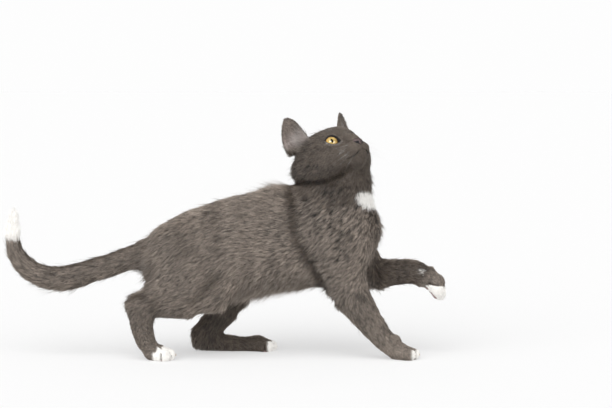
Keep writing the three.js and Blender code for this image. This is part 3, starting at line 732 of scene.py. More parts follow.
def shadeMarks():
    x, y, z = inSolids.T
    shade = np.zeros(len(points))
    for names, amount in paintedShadeOfParts:
        shade = np.maximum(shade, amount * isPart(numbers, *names))
    # painted shade, darker towards the bottom of the head
    shade[onHead] += shadeSet["chin"] * (1 - rampUp(-22, -10, local[onHead, 2]))
    # painted shade on the far legs' sides that face the body, and at the far foreleg's root under the chest
    armRoot = shadeSet["armRoot"] * bump(spotAt(shadeSet["armRootAt"], shadeSet["armRootReach"]), 1) * (y > 3)
    inner = np.maximum(shadeSet["farLegs"] * isPart(numbers, *farLegs), armRoot)
    shade = np.maximum(shade, np.minimum(inner, 1) * rampUp(0.2, -0.5, normal[:, 1]))
    upward = np.column_stack([way[:, 2], np.zeros(len(way)), -way[:, 0]])
    tailTop = rampUp(0.75, 0.95, (normal * upward).sum(axis=1)) * rampUp(-165, -185, x)
    onTail = isPart(numbers, "tail_base", "tail_middle", "tail_bend")
    shade = np.maximum(shade, shadeSet["tailTop"] * tailTop * onTail)
    # painted shade over the front of the chest
    paintedChestShade = shadeSet["bib"] * bump(spotAt(shadeSet["bibAt"], shadeSet["bibReach"]), 1)
    shade += paintedChestShade * isPart(numbers, "chest", "neck")
    ribs = 0.5 + 0.5 * np.cos((x + 22.6 + 0.08 * (z - 150)) * 2 * math.pi / shadeSet["ribGap"])
    ribs = ribs * bump((x - shadeSet["ribMiddle"]) / shadeSet["ribReach"], 1)
    shade += shadeSet["rib"] * ribs * rampUp(96, 130, z) * isPart(numbers, "chest", "belly", "rump")
    shade = near.smoothed(shade, 4)
    # painted shade in the folds and creases, except on the ears
    shade = np.maximum(shade, foldsAt(inSolids)[0] * ~onEar * (z < 216))
    for mine, facing, tall, _ in earParts():
        back = 1 - rampUp(0.2, 0.6, facing)
        rim = rampUp(0.06, 0.34, near.smoothed(back, 20))
        cup = np.maximum(rim, 0.25 + 0.25 * rampUp(12, 30, tall)) * (1 - back)
        shade = np.where(mine, np.maximum(shadeSet["earBack"] * back, shadeSet["earCup"] * cup), shade)
    # painted shade in the gaps between the toes and under the raised paw's knuckles
    for gap in toeGaps:
        shade = np.maximum(shade, gap)
    dots = np.linalg.norm(whiskerRoots[None] - local[:, None], axis=2).min(axis=1)
    return np.maximum(shade, bump(dots, shadeSet["dot"]) * onHead)


marks = dict(white=whiteMarks(), pink=pinkMarks(), dark=bareMarks(), shade=shadeMarks())
coat["length"] += 0.6 * marks["pink"]
# shorter hair over the high folds, under the jaw and behind the shoulder, so that their painted shade shows
coat["length"] *= 1 - 0.45 * foldsAt(inSolids)[0] * (inSolids[:, 2] > 180)
# where the coat parts into locks with painted shade between them: the chest and the back of the head
coat["parted"] = bump(spotAt((36, 152), (44, 46)), 1) * ~onHead
coat["parted"] += 0.55 * hairy * onHead
for name, values in marks.items():
    setFloat(skin.data, name, values)
coat["dense"] *= (1 - rampUp(0.3, 0.9, marks["dark"])) * (1 - 0.3 * marks["pink"])
for mine, _, tall, wide in earParts():  # long hairs from the inner edge and foot of the ear, across its cup
    hairs = marks["pink"] * mine * np.maximum(rampUp(-1, -6, wide), rampUp(14, 6, tall))
    hairs = hairs * rampUp(34, 24, tall)
    coat["length"] += 5 * hairs
    coat["lift"] += 14 * hairs
    coat["dense"] *= 1 - 0.4 * hairs
    marks["white"] = np.maximum(marks["white"], 0.16 * hairs)
setFloat(skin.data, "white", marks["white"])
print("coat laid out")

tuftSet = {"perPiece": 33000, "middle": 0.38, "thick": 0.5, "sunk": 0.4, "clump": 7, "pull": 0.6,
           "guards": 0.04, "patch": 0.003, "stray": 0.16, "longSpread": (0.75, 1.2),
           "wideSpread": (0.75, 1.25), "liftSpread": 6, "guardLong": 1.45, "guardWide": 0.55, "guardLift": 8,
           "lowest": 0.2}
clumpOf = {"coat_head": 5, "coat_ears": 5, "coat_neck": 10, "coat_chest": 12, "coat_tail": 7,
           "coat_right_foreleg": 10, "coat_left_foreleg": 10}
coatPieces = {
    "coat_head": ("head", "lower_jaw"),
    "coat_ears": ("left_ear", "right_ear"),
    "coat_neck": ("neck",),
    "coat_chest": ("chest",),
    "coat_belly": ("belly",),
    "coat_rump": ("rump",),
    "coat_tail": ("tail_base", "tail_middle", "tail_bend", "tail_tip"),
    "coat_right_foreleg": ("right_upper_arm", "right_forearm", "right_fore_paw"),
    "coat_left_foreleg": ("left_upper_arm", "left_forearm", "left_fore_paw"),
    "coat_right_hindleg": ("right_thigh", "right_shank", "right_hind_foot", "right_hind_paw"),
    "coat_left_hindleg": ("left_thigh", "left_shank", "left_hind_foot", "left_hind_paw"),
}
draw = np.random.default_rng(7)
skin.data.calc_loop_triangles()
triangles = readRows(skin.data.loop_triangles, "vertices", np.int32)
corner = points[triangles]
area = 0.5 * np.linalg.norm(np.cross(corner[:, 1] - corner[:, 0], corner[:, 2] - corner[:, 0]), axis=1)
wanted = area / mm**2 * coat["dense"][triangles].mean(axis=1)


def scattered(chosen):  # tufts' roots, as a triangle and its three weights
    reach = np.cumsum(wanted[chosen])
    count = int(reach[-1])
    at = (np.arange(count) + draw.random(count)) / count * reach[-1]
    found = chosen[np.minimum(np.searchsorted(reach, at), len(chosen) - 1)]
    a, b = np.sqrt(draw.random(count)), draw.random(count)
    return found, np.column_stack([1 - a, a * (1 - b), a * b])


def unwrapped(at, facing):  # six flat views of the skin, side by side
    axis = np.abs(facing).argmax(axis=1)
    sign = np.take_along_axis(facing, axis[:, None], 1)[:, 0] > 0
    uv = np.empty((len(at), 2))
    for a in range(3):
        flat = at[:, [i for i in range(3) if i != a]]
        for positive in (False, True):
            mine = (axis == a) & (sign == positive)
            if mine.any():
                low, high = flat[mine].min(axis=0), flat[mine].max(axis=0)
                cell = (flat[mine] - low) / np.maximum(high - low, mm)
                uv[mine] = (cell * 0.94 + 0.03 + (a, int(positive))) / (3, 2)
    return uv


tuftFaces = np.array([[1, 2, 4], [2, 3, 4], [3, 1, 4], [2, 1, 0], [3, 2, 0], [1, 3, 0]])
patchShape = np.array([[-0.5, 0], [0, -0.5], [0, 0.5], [0.12, 0.05], [0.5, 0]])


def tuftPiece(name, corners, uv, values):
    count = len(corners)
    mesh = bpy.data.meshes.new(name)
    mesh.vertices.add(count * 5)
    mesh.vertices.foreach_set("co", corners.astype(np.float32).ravel())
    index = (np.arange(count)[:, None, None] * 5 + tuftFaces[None]).reshape(-1)
    mesh.loops.add(len(index))
    mesh.loops.foreach_set("vertex_index", index.astype(np.int32))
    mesh.polygons.add(count * 6)
    mesh.polygons.foreach_set("loop_start", np.arange(0, count * 18, 3, dtype=np.int32))
    mesh.polygons.foreach_set("use_smooth", np.ones(count * 6, bool))
    mesh.update(calc_edges=True)
    layer = mesh.uv_layers.new(name="OFBake")
    spread = uv[:, None] + patchShape[None] * tuftSet["patch"]
    layer.data.foreach_set("uv", spread.reshape(-1, 2)[index].astype(np.float32).ravel())
    for what, each in values.items():
        setFloat(mesh, what, each.ravel())
    piece = addObject(name, mesh)
    mesh.materials.append(coatPaint)
    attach(piece, "root")
    return piece


def partings(root):  # 1 in the short gaps between the locks of the chest, where painted shade darkens the tufts
    x, y, z = toSolids(root).T
    stretched = np.column_stack([(0.85 * x - 0.5 * z) / 4.5, y / 9, (0.5 * x + 0.85 * z) / 9])
    return bump(np.array([noise.noise(p) for p in stretched.tolist()]), 0.09)


def growTufts(name, chosen, perClump):
    found, weights = scattered(chosen)
    count = len(found)

    def atRoots(values):  # what the skin has where the tufts stand
        return np.einsum("ij,ij...->i...", weights, values[triangles[found]])

    def stepped(length, angle):
        return (length * np.cos(angle))[:, None] * along + (length * np.sin(angle))[:, None] * out

    root, out = atRoots(points), unit(atRoots(normal))
    along = unit(atRoots(way) + tuftSet["stray"] * draw.normal(size=(count, 3)))
    along = unit(along - (along * out).sum(1)[:, None] * out)
    long = atRoots(coat["length"]) * draw.uniform(*tuftSet["longSpread"], count) * mm
    wide = atRoots(coat["width"]) * draw.uniform(*tuftSet["wideSpread"], count) * mm
    parted = atRoots(coat["parted"]) * partings(root)
    lift = atRoots(coat["lift"]) + tuftSet["liftSpread"] * draw.normal(size=count)
    guard = draw.random(count) < tuftSet["guards"] * (long > 4.5 * mm) * np.clip((lift - 10) / 8, 0, 3.5)
    long[guard] *= tuftSet["guardLong"]
    wide[guard] *= tuftSet["guardWide"]
    lift[guard] += tuftSet["guardLift"]
    lift = np.radians(np.clip(lift, 3, 80))
    middle = root + stepped(tuftSet["middle"] * long, np.minimum(1.5 * lift, 1.2))
    tip = middle + stepped((1 - tuftSet["middle"]) * long, 0.6 * lift)
    # Each tuft leans towards the leader of its clump, the long ones most.
    centres = draw.permutation(count)[: max(1, count // perClump)]
    tree = treeOf(root[centres])
    nearest = [tree.find(p)[1:] for p in root.tolist()]
    clump = np.array([i for i, _ in nearest])
    reach = np.sqrt(perClump / (math.pi * atRoots(coat["dense"]).clip(0.5, 9))) * mm
    edge = np.clip(np.array([gap for _, gap in nearest]) / reach - 0.35, 0, 1)
    leader = centres[clump]
    pull = tuftSet["pull"] * draw.uniform(0.5, 1.2, count) * ~guard
    pull = (pull * (0.25 + 0.75 * rampUp(2.5, 8, long / mm)))[:, None]
    tip += (tip[leader] - tip) * pull
    middle += (middle[leader] - middle) * pull * 0.35
    side = np.cross(along, out) * (wide / 2)[:, None]
    over = out * (wide * tuftSet["thick"])[:, None]
    foot, top = root - out * tuftSet["sunk"] * mm, middle + 0.6 * over
    corners = np.stack([foot, middle + side - 0.4 * over, middle - side - 0.4 * over, top, tip], axis=1)
    corners[:, :, 2] = np.maximum(corners[:, :, 2], tuftSet["lowest"] * mm)  # none of it below the floor
    # tufts at a clump's edge and in the partings are darker, painted shade between the locks; the rest of the
    # tone varies at random
    tone = 0.5 * draw.random(len(centres))[clump] + 0.5 * draw.random(count) - 0.4 * edge - 0.8 * parted
    marked = atRoots(marks["white"])
    white = rampUp(0.3, 0.7, marked + 0.16 * draw.normal(size=count) * (marked > 0.05)) * (marked > 0.05)
    white = np.where(onEar[triangles[found, 0]], marked, white)
    each = np.ones((count, 5))
    values = dict(tone=tone, white=white, pink=atRoots(marks["pink"]), shade=atRoots(marks["shade"]))
    values = {what: value[:, None] * each for what, value in values.items()}
    values["along"] = each * (0, 0.45, 0.45, 0.6, 1)
    tuftPiece(name, corners, unwrapped(root, out), values)
    return count


def setInputs(node, settings):
    for socket, value in settings.items():
        node.inputs[socket].default_value = value


def newPaint(name, settings):
    paint = bpy.data.materials.new(name)
    paint.use_nodes = True
    shader = paint.node_tree.nodes["Principled BSDF"]
    setInputs(shader, settings)
    return paint, paint.node_tree, shader


def addNode(tree, kind, settings, vector=None):
    node = tree.nodes.new(kind)
    setInputs(node, settings)
    if vector:
        tree.links.new(vector, node.inputs["Vector"])
    return node


def objectPlace(tree):
    return tree.nodes.new("ShaderNodeTexCoord").outputs["Object"]


def addRelief(tree, shader, height, strength, distance, isInverted=False):
    relief = addNode(tree, "ShaderNodeBump", {"Strength": strength, "Distance": distance * mm})
    relief.invert = isInverted
    tree.links.new(height, relief.inputs["Height"])
    tree.links.new(relief.outputs["Normal"], shader.inputs["Normal"])


def readFloat(tree, name):
    node = tree.nodes.new("ShaderNodeAttribute")
    node.attribute_name = name
    return node.outputs["Fac"]


def mixed(tree, factor, a, b, blend="MIX"):  # a colour between a and b
    node = tree.nodes.new("ShaderNodeMix")
    node.data_type = "RGBA"
    node.blend_type = blend
    for socket, value in (("Factor", factor), ("A", a), ("B", b)):
        target = [i for i in node.inputs if i.name == socket and i.enabled][0]
        if hasattr(value, "links"):
            tree.links.new(value, target)
        elif isinstance(value, (int, float)):
            target.default_value = value
        else:
            target.default_value = (*value, 1)
    return [o for o in node.outputs if o.enabled][0]


def maths(tree, operation, a, b=0.0, c=None):
    node = tree.nodes.new("ShaderNodeMath")
    node.operation = operation
    for i, value in enumerate((a, b, c)):
        if value is None:
            continue
        if hasattr(value, "links"):
            tree.links.new(value, node.inputs[i])
        else:
            node.inputs[i].default_value = value
    return node.outputs[0]


def combined(tree, channels):  # three values as a colour
    node = tree.nodes.new("ShaderNodeCombineColor")
    for value, socket in zip(channels, node.inputs):
        tree.links.new(value, socket)
    return node.outputs[0]


# Colours at the root and at the tip, the dark roots partly the hair's own and partly painted shade deep in
# the coat, then the factor and offset of each thing that varies them.
coatColours = {"grey": ((0.035, 0.029, 0.024), (0.482, 0.405, 0.341)),
               "white": ((0.74, 0.71, 0.67), (0.9, 0.885, 0.86)),
               "pink": ((0.26, 0.2, 0.185), (0.46, 0.4, 0.37))}
coatTones = {"tone": (1.15, 0.58), "mottle": (0.5, 0.75), "bands": (-0.12, 1.06), "whiteTone": (0.25, 0.85),
             "shade": (-0.8, -0.83, -0.86)}


def coatColourGroup():  # the colour of skin and coat alike, from the marks
    group = bpy.data.node_groups.new("coatColour", "ShaderNodeTree")
    for name in ("White", "Pink", "Along", "Tone", "Shade"):
        group.interface.new_socket(name, in_out="INPUT", socket_type="NodeSocketFloat")
    group.interface.new_socket("Colour", in_out="OUTPUT", socket_type="NodeSocketColor")
    source = group.nodes.new("NodeGroupInput").outputs
    where = objectPlace(group)
    mottle = addNode(group, "ShaderNodeTexNoise", {"Scale": 38, "Detail": 3}, where)
    wave = {"Scale": 9, "Distortion": 5, "Detail": 2, "Detail Scale": 1.2}
    bands = addNode(group, "ShaderNodeTexWave", wave, where)
    grey, white, pink = (mixed(group, source["Along"], *ends) for ends in coatColours.values())
    colour = mixed(group, source["Pink"], grey, pink)
    tone = maths(group, "MULTIPLY_ADD", source["Tone"], *coatTones["tone"])
    for what, node in (("mottle", mottle), ("bands", bands)):
        varied = maths(group, "MULTIPLY_ADD", node.outputs["Fac"], *coatTones[what])
        tone = maths(group, "MULTIPLY", tone, varied)
    shades = []
    for strength in coatTones["shade"]:
        dimmed = maths(group, "MULTIPLY_ADD", source["Shade"], strength, 1.0)
        shades.append(maths(group, "MULTIPLY", tone, dimmed))
    colour = mixed(group, 1.0, colour, combined(group, shades), "MULTIPLY")
    bright = maths(group, "MULTIPLY_ADD", source["Tone"], *coatTones["whiteTone"])
    white = mixed(group, 1.0, white, combined(group, [bright] * 3), "MULTIPLY")
    colour = mixed(group, source["White"], colour, white)
    group.links.new(colour, group.nodes.new("NodeGroupOutput").inputs["Colour"])
    return group


coatColour = coatColourGroup()


def addCoatColour(tree, sockets):
    node = tree.nodes.new("ShaderNodeGroup")
    node.node_tree = coatColour
    for socket in sockets:
        tree.links.new(readFloat(tree, socket.lower()), node.inputs[socket])
    return node


def whiteHairGlow(tree, shader):  # white hair glows a little of its own, painted light standing in for light passing through it
    glow = mixed(tree, readFloat(tree, "white"), (0, 0, 0), (1, 1, 0.98))
    tree.links.new(glow, shader.inputs["Emission Color"])
    setInputs(shader, {"Emission Strength": 0.2})


def makeCoatPaint():
    settings = {"Roughness": 0.62, "Specular IOR Level": 0.3, "Sheen Weight": 0.1, "Sheen Roughness": 0.5}
    paint, tree, shader = newPaint("coatPaint", settings)
    colour = addCoatColour(tree, ("White", "Pink", "Along", "Tone", "Shade"))
    tree.links.new(colour.outputs["Colour"], shader.inputs["Base Color"])
    whiteHairGlow(tree, shader)
    return paint


def makeSkinPaint():
    paint, tree, shader = newPaint("skinPaint", {"Roughness": 0.7, "Specular IOR Level": 0.25})
    colour = addCoatColour(tree, ("White", "Pink", "Shade"))
    setInputs(colour, {"Along": 0.3, "Tone": 0.5})
    whiteHairGlow(tree, shader)
    dark = mixed(tree, readFloat(tree, "dark"), colour.outputs["Colour"], (0.006, 0.005, 0.006))
    tree.links.new(dark, shader.inputs["Base Color"])
    hair = addNode(tree, "ShaderNodeTexNoise", {"Scale": 1400}, objectPlace(tree))
    addRelief(tree, shader, hair.outputs["Fac"], 0.6, 0.3)
    return paint


def ramped(tree, value, stops):  # colours along a value, as (place, colour) pairs
    node = tree.nodes.new("ShaderNodeValToRGB")
    ramp = node.color_ramp
    for i, (at, colour) in enumerate(stops):
        stop = ramp.elements[i] if i < 2 else ramp.elements.new(at)
        stop.position = at
        stop.color = (*colour, 1)
    tree.links.new(value, node.inputs["Fac"])
    return node.outputs["Color"]


def makeEyePaint():
    settings = {"Roughness": 0.35, "Specular IOR Level": 0, "Coat Weight": 1, "Coat Roughness": 0.04}
    paint, tree, shader = newPaint("eyePaint", settings)
    where = tree.nodes.new("ShaderNodeAttribute")
    where.attribute_name = "iris"
    split = tree.nodes.new("ShaderNodeSeparateXYZ")
    tree.links.new(where.outputs["Vector"], split.inputs[0])
    across, over = split.outputs[0], split.outputs[1]
    squares = [maths(tree, "POWER", value, 2.0) for value in (across, over)]
    radius = maths(tree, "SQRT", maths(tree, "ADD", *squares))
    fan = tree.nodes.new("ShaderNodeCombineXYZ")
    tree.links.new(maths(tree, "DIVIDE", across, radius), fan.inputs[0])
    tree.links.new(maths(tree, "DIVIDE", over, radius), fan.inputs[1])
    tree.links.new(maths(tree, "MULTIPLY", radius, 0.06), fan.inputs[2])
    fibre = addNode(tree, "ShaderNodeTexNoise", {"Scale": 5.5, "Detail": 5}, fan.outputs[0])
    share = maths(tree, "DIVIDE", radius, eyeballSet["iris"])
    colour = ramped(tree, share, eyeballSet["rings"])
    light = ramped(tree, fibre.outputs["Fac"], eyeballSet["fibres"])
    colour = mixed(tree, 1.0, colour, light, "MULTIPLY")
    # The slit's edge: wide at the middle, closing to a point above and below.
    wide, high = eyeballSet["slit"]
    arch = maths(tree, "SUBTRACT", 1.0, maths(tree, "POWER", maths(tree, "DIVIDE", over, high), 2.0))
    edge = maths(tree, "SUBTRACT", maths(tree, "MULTIPLY", arch, wide), maths(tree, "ABSOLUTE", across))
    slit = ramped(tree, maths(tree, "MULTIPLY_ADD", edge, 1.2, 0.5), ((0.25, (0, 0, 0)), (0.75, (1, 1, 1))))
    colour = mixed(tree, slit, colour, (0.004, 0.004, 0.005))
    tree.links.new(colour, shader.inputs["Base Color"])
    return paint


# Gaze is in the head's directions, for the left and the right eye; rings go from the middle outwards,
# the dark outer ones partly the iris's own edge and partly painted shade of the lids at the corners.
eyeballSet = {
    "gaze": {1: (0.95, 0.27, 0.125), -1: (0.885, -0.447, 0.125)}, "bulge": 0.6, "iris": 6.8,
    "slit": (1.35, 2.9), "fibres": ((0.3, (0.62, 0.58, 0.5)), (0.7, (1.25, 1.2, 1.1))),
    "rings": ((0.0, (0.42, 0.31, 0.10)), (0.55, (0.56, 0.42, 0.17)), (0.84, (0.46, 0.29, 0.09)),
              (0.95, (0.07, 0.035, 0.012)), (1.0, (0.012, 0.008, 0.007))),
}


def addSmooth(name, mesh, paint):
    mesh.shade_smooth()
    mesh.materials.clear()
    mesh.materials.append(paint)
    return addObject(name, mesh)


def addEye(name, side):
    gaze = unit(eyeballSet["gaze"][side])
    over = unit(np.array([0, 0, 1]) - gaze[2] * gaze)
    axes = np.array([np.cross(over, gaze), over, gaze])
    bm = bmesh.new()
    bmesh.ops.create_uvsphere(bm, u_segments=72, v_segments=48, radius=eyeSet["radius"] * mm)
    mesh = meshFrom(bm, name)
    at = pointsOf(mesh) / mm
    ahead = np.hypot(at[:, 0], at[:, 1]) + 30 * (at[:, 2] < 0)
    at *= (1 + eyeballSet["bulge"] / eyeSet["radius"] * bump(ahead, 5))[:, None]
    layer = mesh.attributes.new("iris", "FLOAT_VECTOR", "POINT")
    layer.data.foreach_set("vector", np.column_stack([at[:, :2], ahead]).astype(np.float32).ravel())
    setPoints(mesh, fromHead(eyeFrame(side)[0] + at @ axes))
    eye = addSmooth(name, mesh, eyePaint)
    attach(eye, "root")
    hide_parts(name.replace("Ball", ""))


eyePaint = makeEyePaint()
addEye("left_eyeBall", 1)
addEye("right_eyeBall", -1)

# Nostrils are rounds along the nose's side: across, up, reach and depth, in mm.
noseSet = {"at": (37.8, 0, -7.0), "half": (5.4, 6.6, 5.0), "colour": (0.08, 0.052, 0.05),
           "nostril": ((3.3, -0.9, 1.1, 2.2), (4.4, -0.5, 0.9, 1.8), (5.4, 0.1, 0.7, 1.5))}


def makeNosePaint():
    paint, tree, shader = newPaint("nosePaint", {"Roughness": 0.55})
    where = objectPlace(tree)
    pebbles = addNode(tree, "ShaderNodeTexVoronoi", {"Scale": 2600}, where)
    blotch = addNode(tree, "ShaderNodeTexNoise", {"Scale": 260}, where)
    low, high = (tuple(share * c for c in noseSet["colour"]) for share in (0.6, 1.5))
    colour = mixed(tree, blotch.outputs["Fac"], low, high)
    # the nostril pits painted near black: painted shade
    colour = mixed(tree, readFloat(tree, "pit"), colour, (0.006, 0.004, 0.004))
    tree.links.new(colour, shader.inputs["Base Color"])
    addRelief(tree, shader, pebbles.outputs["Distance"], 0.45, 0.12, isInverted=True)
    return paint


def addNose():
    bm = bmesh.new()
    bmesh.ops.create_icosphere(bm, subdivisions=6, radius=1)
    mesh = meshFrom(bm, "noseLeather")
    ahead, left, up = pointsOf(mesh).T
    narrow = 0.34 + 0.66 * rampUp(-1.05, 0.25, up)  # an upside-down triangle from the front
    flat = ahead * (1 - 0.12 * rampUp(-0.2, 1, up))
    shaped = np.column_stack([flat, left * narrow, up]) * noseSet["half"]
    push = np.zeros(len(shaped))
    for side in (1, -1):
        for across, over, reach, deep in noseSet["nostril"]:
            hole = np.hypot(shaped[:, 1] - side * across, shaped[:, 2] - over)
            push = np.minimum(push, -deep * bump(hole, reach) * rampUp(-1.5, 0.5, shaped[:, 0]))
    push -= 0.5 * bump(shaped[:, 1], 0.45) * (shaped[:, 0] > 0) * (1 - rampUp(0, 2.5, shaped[:, 2]))
    shaped[:, 0] += push
    # how far the nostrils sink in, to be painted near black as painted shade
    setFloat(mesh, "pit", rampUp(-0.4, -0.9, push) * (np.abs(shaped[:, 1]) > 1.4))
    setPoints(mesh, fromHead(noseSet["at"] + shaped))
    nose = addSmooth("noseLeather", mesh, makeNosePaint())
    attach(nose, "root")
    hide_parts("nose")


addNose()
print("eyes and nose made")


def plainPaint(name, colour, roughness, scale, spread, coatWeight=0.0):  # a colour with a fine mottle
    paint, tree, shader = newPaint(name, {"Roughness": roughness, "Coat Weight": coatWeight})
    mottle = addNode(tree, "ShaderNodeTexNoise", {"Scale": scale, "Detail": 4}, objectPlace(tree))
    low, high = (tuple(min(1, c * share) for c in colour) for share in (1 - spread, 1 + spread))
    mottled = ramped(tree, mottle.outputs["Fac"], ((0.3, low), (0.7, high)))
    tree.links.new(mottled, shader.inputs["Base Color"])
    addRelief(tree, shader, mottle.outputs["Fac"], 0.4, 0.15)
    return paint


whiskerSet = {
    "thick": 0.05, "length": (17, 30), "points": 12,
    "way": {1: (-0.3, 0.86, -0.1), -1: (-0.75, -0.55, 0)}, "droop": 0.3, "browWay": (-0.35, 0.25, 0.9),
    "brow": ((21, 14, 17.5), (18.5, 16, 17.8), (23, 12.5, 16)), "browLength": 17,
}


def addWhiskers(name, side):
    strokes = np.random.default_rng(20 + side)
    curve = bpy.data.curves.new(name, "CURVE")
    curve.dimensions = "3D"
    curve.bevel_depth = whiskerSet["thick"] * mm
    curve.bevel_resolution = 1
    rows = [(root, whiskerSet["way"][side], strokes.uniform(*whiskerSet["length"])) for root in whiskerRoots
            if root[1] * side > 0]
    brow = np.multiply(whiskerSet["browWay"], (1, side, 1))
    for spot in whiskerSet["brow"]:
        root = np.array(skinTree.find(np.multiply(spot, (1, side, 1)).tolist())[0])
        rows.append((root, brow, whiskerSet["browLength"] * strokes.uniform(0.7, 1)))
    for root, lean, length in rows:
        lean = unit(lean + 0.09 * strokes.normal(size=3) + (0, 0, 0.035 * (root[2] + 12)))
        spline = curve.splines.new("POLY")
        spline.points.add(whiskerSet["points"] - 1)
        for i, point in enumerate(spline.points):
            t = i / (whiskerSet["points"] - 1)
            at = root + lean * (length * t - 1) - np.array([0, 0, whiskerSet["droop"] * length * t * t * 0.6])
            point.co = (*fromHead(at), 1)
            point.radius = 1 - 0.82 * t
    stroke = addObject(name, curve)
    mesh = bpy.data.meshes.new_from_object(stroke.evaluated_get(bpy.context.evaluated_depsgraph_get()))
    bpy.data.objects.remove(stroke)
    whiskers = addSmooth(name, mesh, whiskerPaint)
    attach(whiskers, "root")


whiskerPaint = plainPaint("whiskerPaint", (0.6, 0.59, 0.57), 0.35, 900, 0.08)
addWhiskers("left_whiskers", 1)
addWhiskers("right_whiskers", -1)

clawSet = {"length": 2.7, "thick": 0.6, "turn": 70, "rings": 7, "at": (7.3, 0, -0.6),
           "colour": (0.62, 0.52, 0.44)}


def toeMiddles():  # how far ahead and across each of the four toes is
    for i in range(4):
        across = i - 1.5
        back = toeSet["setBack"] if abs(across) > 1 else 0
        yield toeSet["reach"] - back, across * toeSet["apart"]


def setInPaw(bm, name):
    paw = pawSet[name]
    turn = Matrix(turned(paw["yaw"], paw["pitch"], 0).tolist())
    whole = Matrix.LocRotScale(Vector(place(*paw["at"])), turn, (mm, mm, mm))
    bmesh.ops.transform(bm, matrix=whole, verts=bm.verts)


def addClaws(name):  # a hooked claw at the end of each toe, half hidden in its fur
    bm = bmesh.new()
    for ahead, across in toeMiddles():
        start = np.array([ahead, across, 0]) + clawSet["at"]
        rings = []
        for step in range(clawSet["rings"]):
            t = step / (clawSet["rings"] - 1)
            turn = math.radians(clawSet["turn"]) * t
            middle = start + clawSet["length"] * np.array([math.sin(turn), 0, math.cos(turn) - 1]) / 1.3
            radius = clawSet["thick"] * (1 - 0.93 * t**1.4)
            ring = bmesh.ops.create_circle(bm, segments=8, radius=1)["verts"]
            shape = Matrix.LocRotScale(middle, Matrix.Rotation(math.pi / 2 + turn, 3, "Y"), None)
            shape = shape @ Matrix.Diagonal((radius * 1.25, radius * 0.7, 1, 1))
            bmesh.ops.transform(bm, matrix=shape, verts=ring)
            rings.append(sorted({edge for v in ring for edge in v.link_edges}, key=lambda e: e.index))
        bm.edges.index_update()
        for a, b in zip(rings, rings[1:]):
            bmesh.ops.bridge_loops(bm, edges=a + b)
        bmesh.ops.holes_fill(bm, edges=rings[0] + rings[-1], sides=0)
    bmesh.ops.recalc_face_normals(bm, faces=bm.faces)
    setInPaw(bm, name)
    mesh = meshFrom(bm, name.replace("paw", "claws"))
    claws = addSmooth(mesh.name, mesh, clawPaint)
    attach(claws, "root")


padSet = {"colour": (0.33, 0.21, 0.2), "palm": (-1, 0, -6.4), "palmHalf": (5, 6.2, 2.7),
          "toeHalf": (3.4, 2.2, 2.4), "toeDown": -5.6, "toeAhead": 0.8, "lowest": 0.25}


def addPads(name):
    bm = bmesh.new()

    def pad(at, half):
        made = bmesh.ops.create_uvsphere(bm, u_segments=24, v_segments=16, radius=1)["verts"]
        bmesh.ops.transform(bm, matrix=Matrix.LocRotScale(Vector(at), None, Vector(half)), verts=made)

    pad(padSet["palm"], padSet["palmHalf"])
    for ahead, across in toeMiddles():
        pad((ahead + padSet["toeAhead"], across, padSet["toeDown"]), padSet["toeHalf"])
    setInPaw(bm, name)
    if pawSet[name]["pitch"] == 0:  # pressed flat by the ground
        for v in bm.verts:
            v.co.z = max(v.co.z, padSet["lowest"] * mm)
    mesh = meshFrom(bm, name.replace("paw", "pads"))
    pads = addSmooth(mesh.name, mesh, padPaint)
    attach(pads, "root")


clawPaint = plainPaint("clawPaint", clawSet["colour"], 0.3, 300, 0.15, 0.3)
padPaint = plainPaint("padPaint", padSet["colour"], 0.6, 700, 0.3)
for name in pawSet:
    addClaws(name)
    addPads(name)
print("whiskers, claws and pads made")

skinPaint = makeSkinPaint()
coatPaint = makeCoatPaint()
for face in skin.data.polygons:
    face.use_smooth = True
skin.data.materials.clear()
skin.data.materials.append(skinPaint)
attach(skin, "root")
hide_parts(*fleshNodes)

tuftCount = 0
for name, parts in coatPieces.items():
    mine = np.nonzero(isPart(numbers[triangles[:, 0]], *parts))[0]
    perClump = clumpOf.get(name, tuftSet["clump"])
    if wanted[mine].sum() < tuftSet["perPiece"]:
        tuftCount += growTufts(name, mine, perClump)
        continue
    sideways = local[triangles[mine, 0], 1] if "head" in parts else points[triangles[mine, 0], 1]
    onLeft = sideways > np.median(sideways)
    tuftCount += growTufts(name + "_left", mine[onLeft], perClump)
    tuftCount += growTufts(name + "_right", mine[~onLeft], perClump)
print("coat grown:", tuftCount, "tufts")

floorSet = {"size": 12, "grey": 0.424, "glow": 0.45}
bm = bmesh.new()
bmesh.ops.create_grid(bm, x_segments=2, y_segments=2, size=floorSet["size"])
floorMesh = meshFrom(bm, "floor")
floor = addObject("floor", floorMesh)
white = (1, 1, 1, 1)
floorPaint = newPaint("floorPaint", {"Base Color": (*[floorSet["grey"]] * 3, 1), "Specular IOR Level": 0,
                                     "Emission Color": white, "Emission Strength": floorSet["glow"]})[0]
floorMesh.materials.append(floorPaint)

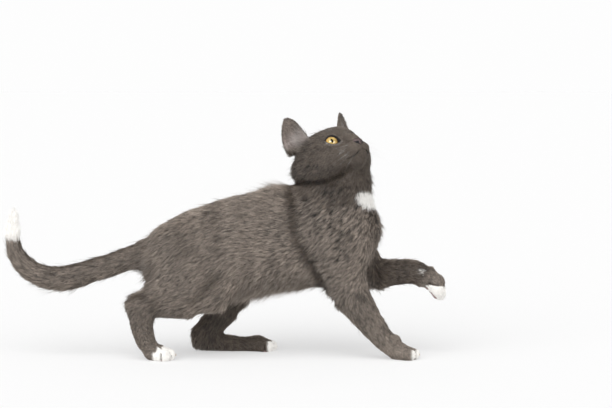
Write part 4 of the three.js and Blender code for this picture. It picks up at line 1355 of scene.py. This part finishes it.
# The world lights the model softly, is brighter behind it and dimmer in mirrored light.
worldSet = {"light": 0.46, "backdrop": 0.985, "mirror": 0.16}
world = bpy.data.worlds.new("studio")
bpy.context.scene.world = world
world.use_nodes = True
sky = world.node_tree
setInputs(sky.nodes["Background"], {"Color": white, "Strength": worldSet["light"]})
backdrop = addNode(sky, "ShaderNodeBackground", {"Color": white, "Strength": worldSet["backdrop"]})
dimmer = addNode(sky, "ShaderNodeBackground", {"Strength": worldSet["mirror"]})
seen = sky.nodes.new("ShaderNodeLightPath")


def swapped(ray, usual, other):  # the other one for rays of that kind
    node = sky.nodes.new("ShaderNodeMixShader")
    for value, socket in zip((seen.outputs[ray], usual.outputs[0], other.outputs[0]), node.inputs):
        sky.links.new(value, socket)
    return node


mirrored = swapped("Is Glossy Ray", sky.nodes["Background"], dimmer)
shown = swapped("Is Camera Ray", mirrored, backdrop)
sky.links.new(shown.outputs[0], sky.nodes["World Output"].inputs["Surface"])


def softBox(name, at, aimAt, size, power):
    lamp = bpy.data.lights.new(name, "AREA")
    lamp.shape = "RECTANGLE"
    lamp.size, lamp.size_y = size
    lamp.energy = power
    light = addObject(name, lamp)
    light.location = at
    light.visible_diffuse = False
    light.rotation_euler = (Vector(aimAt) - Vector(at)).to_track_quat("-Z", "Y").to_euler()


def addSun(name, comesFrom, angle, strength):  # a wide light that leaves no highlight
    lamp = bpy.data.lights.new(name, "SUN")
    lamp.angle = math.radians(angle)
    lamp.energy = strength
    light = addObject(name, lamp)
    light.rotation_euler = Vector(comesFrom).to_track_quat("Z", "Y").to_euler()
    light.visible_glossy = False


addSun("ceilingLight", (-0.3, -0.6, 0.74), 75, 3.1)
addSun("sideLight", (0.85, -0.45, 0.2), 60, 0.9)
eyeAt = Vector(middleOf("right_eye"))
softBox("keyLight", eyeAt + 1.8 * Vector((-0.29, -0.62, 0.74)), eyeAt, (0.95, 0.8), 40)
softBox("fillLight", eyeAt + 2.0 * Vector((0.67, -0.57, 0.49)), eyeAt, (0.7, 0.7), 20)
bpy.context.scene.view_settings.view_transform = "Standard"
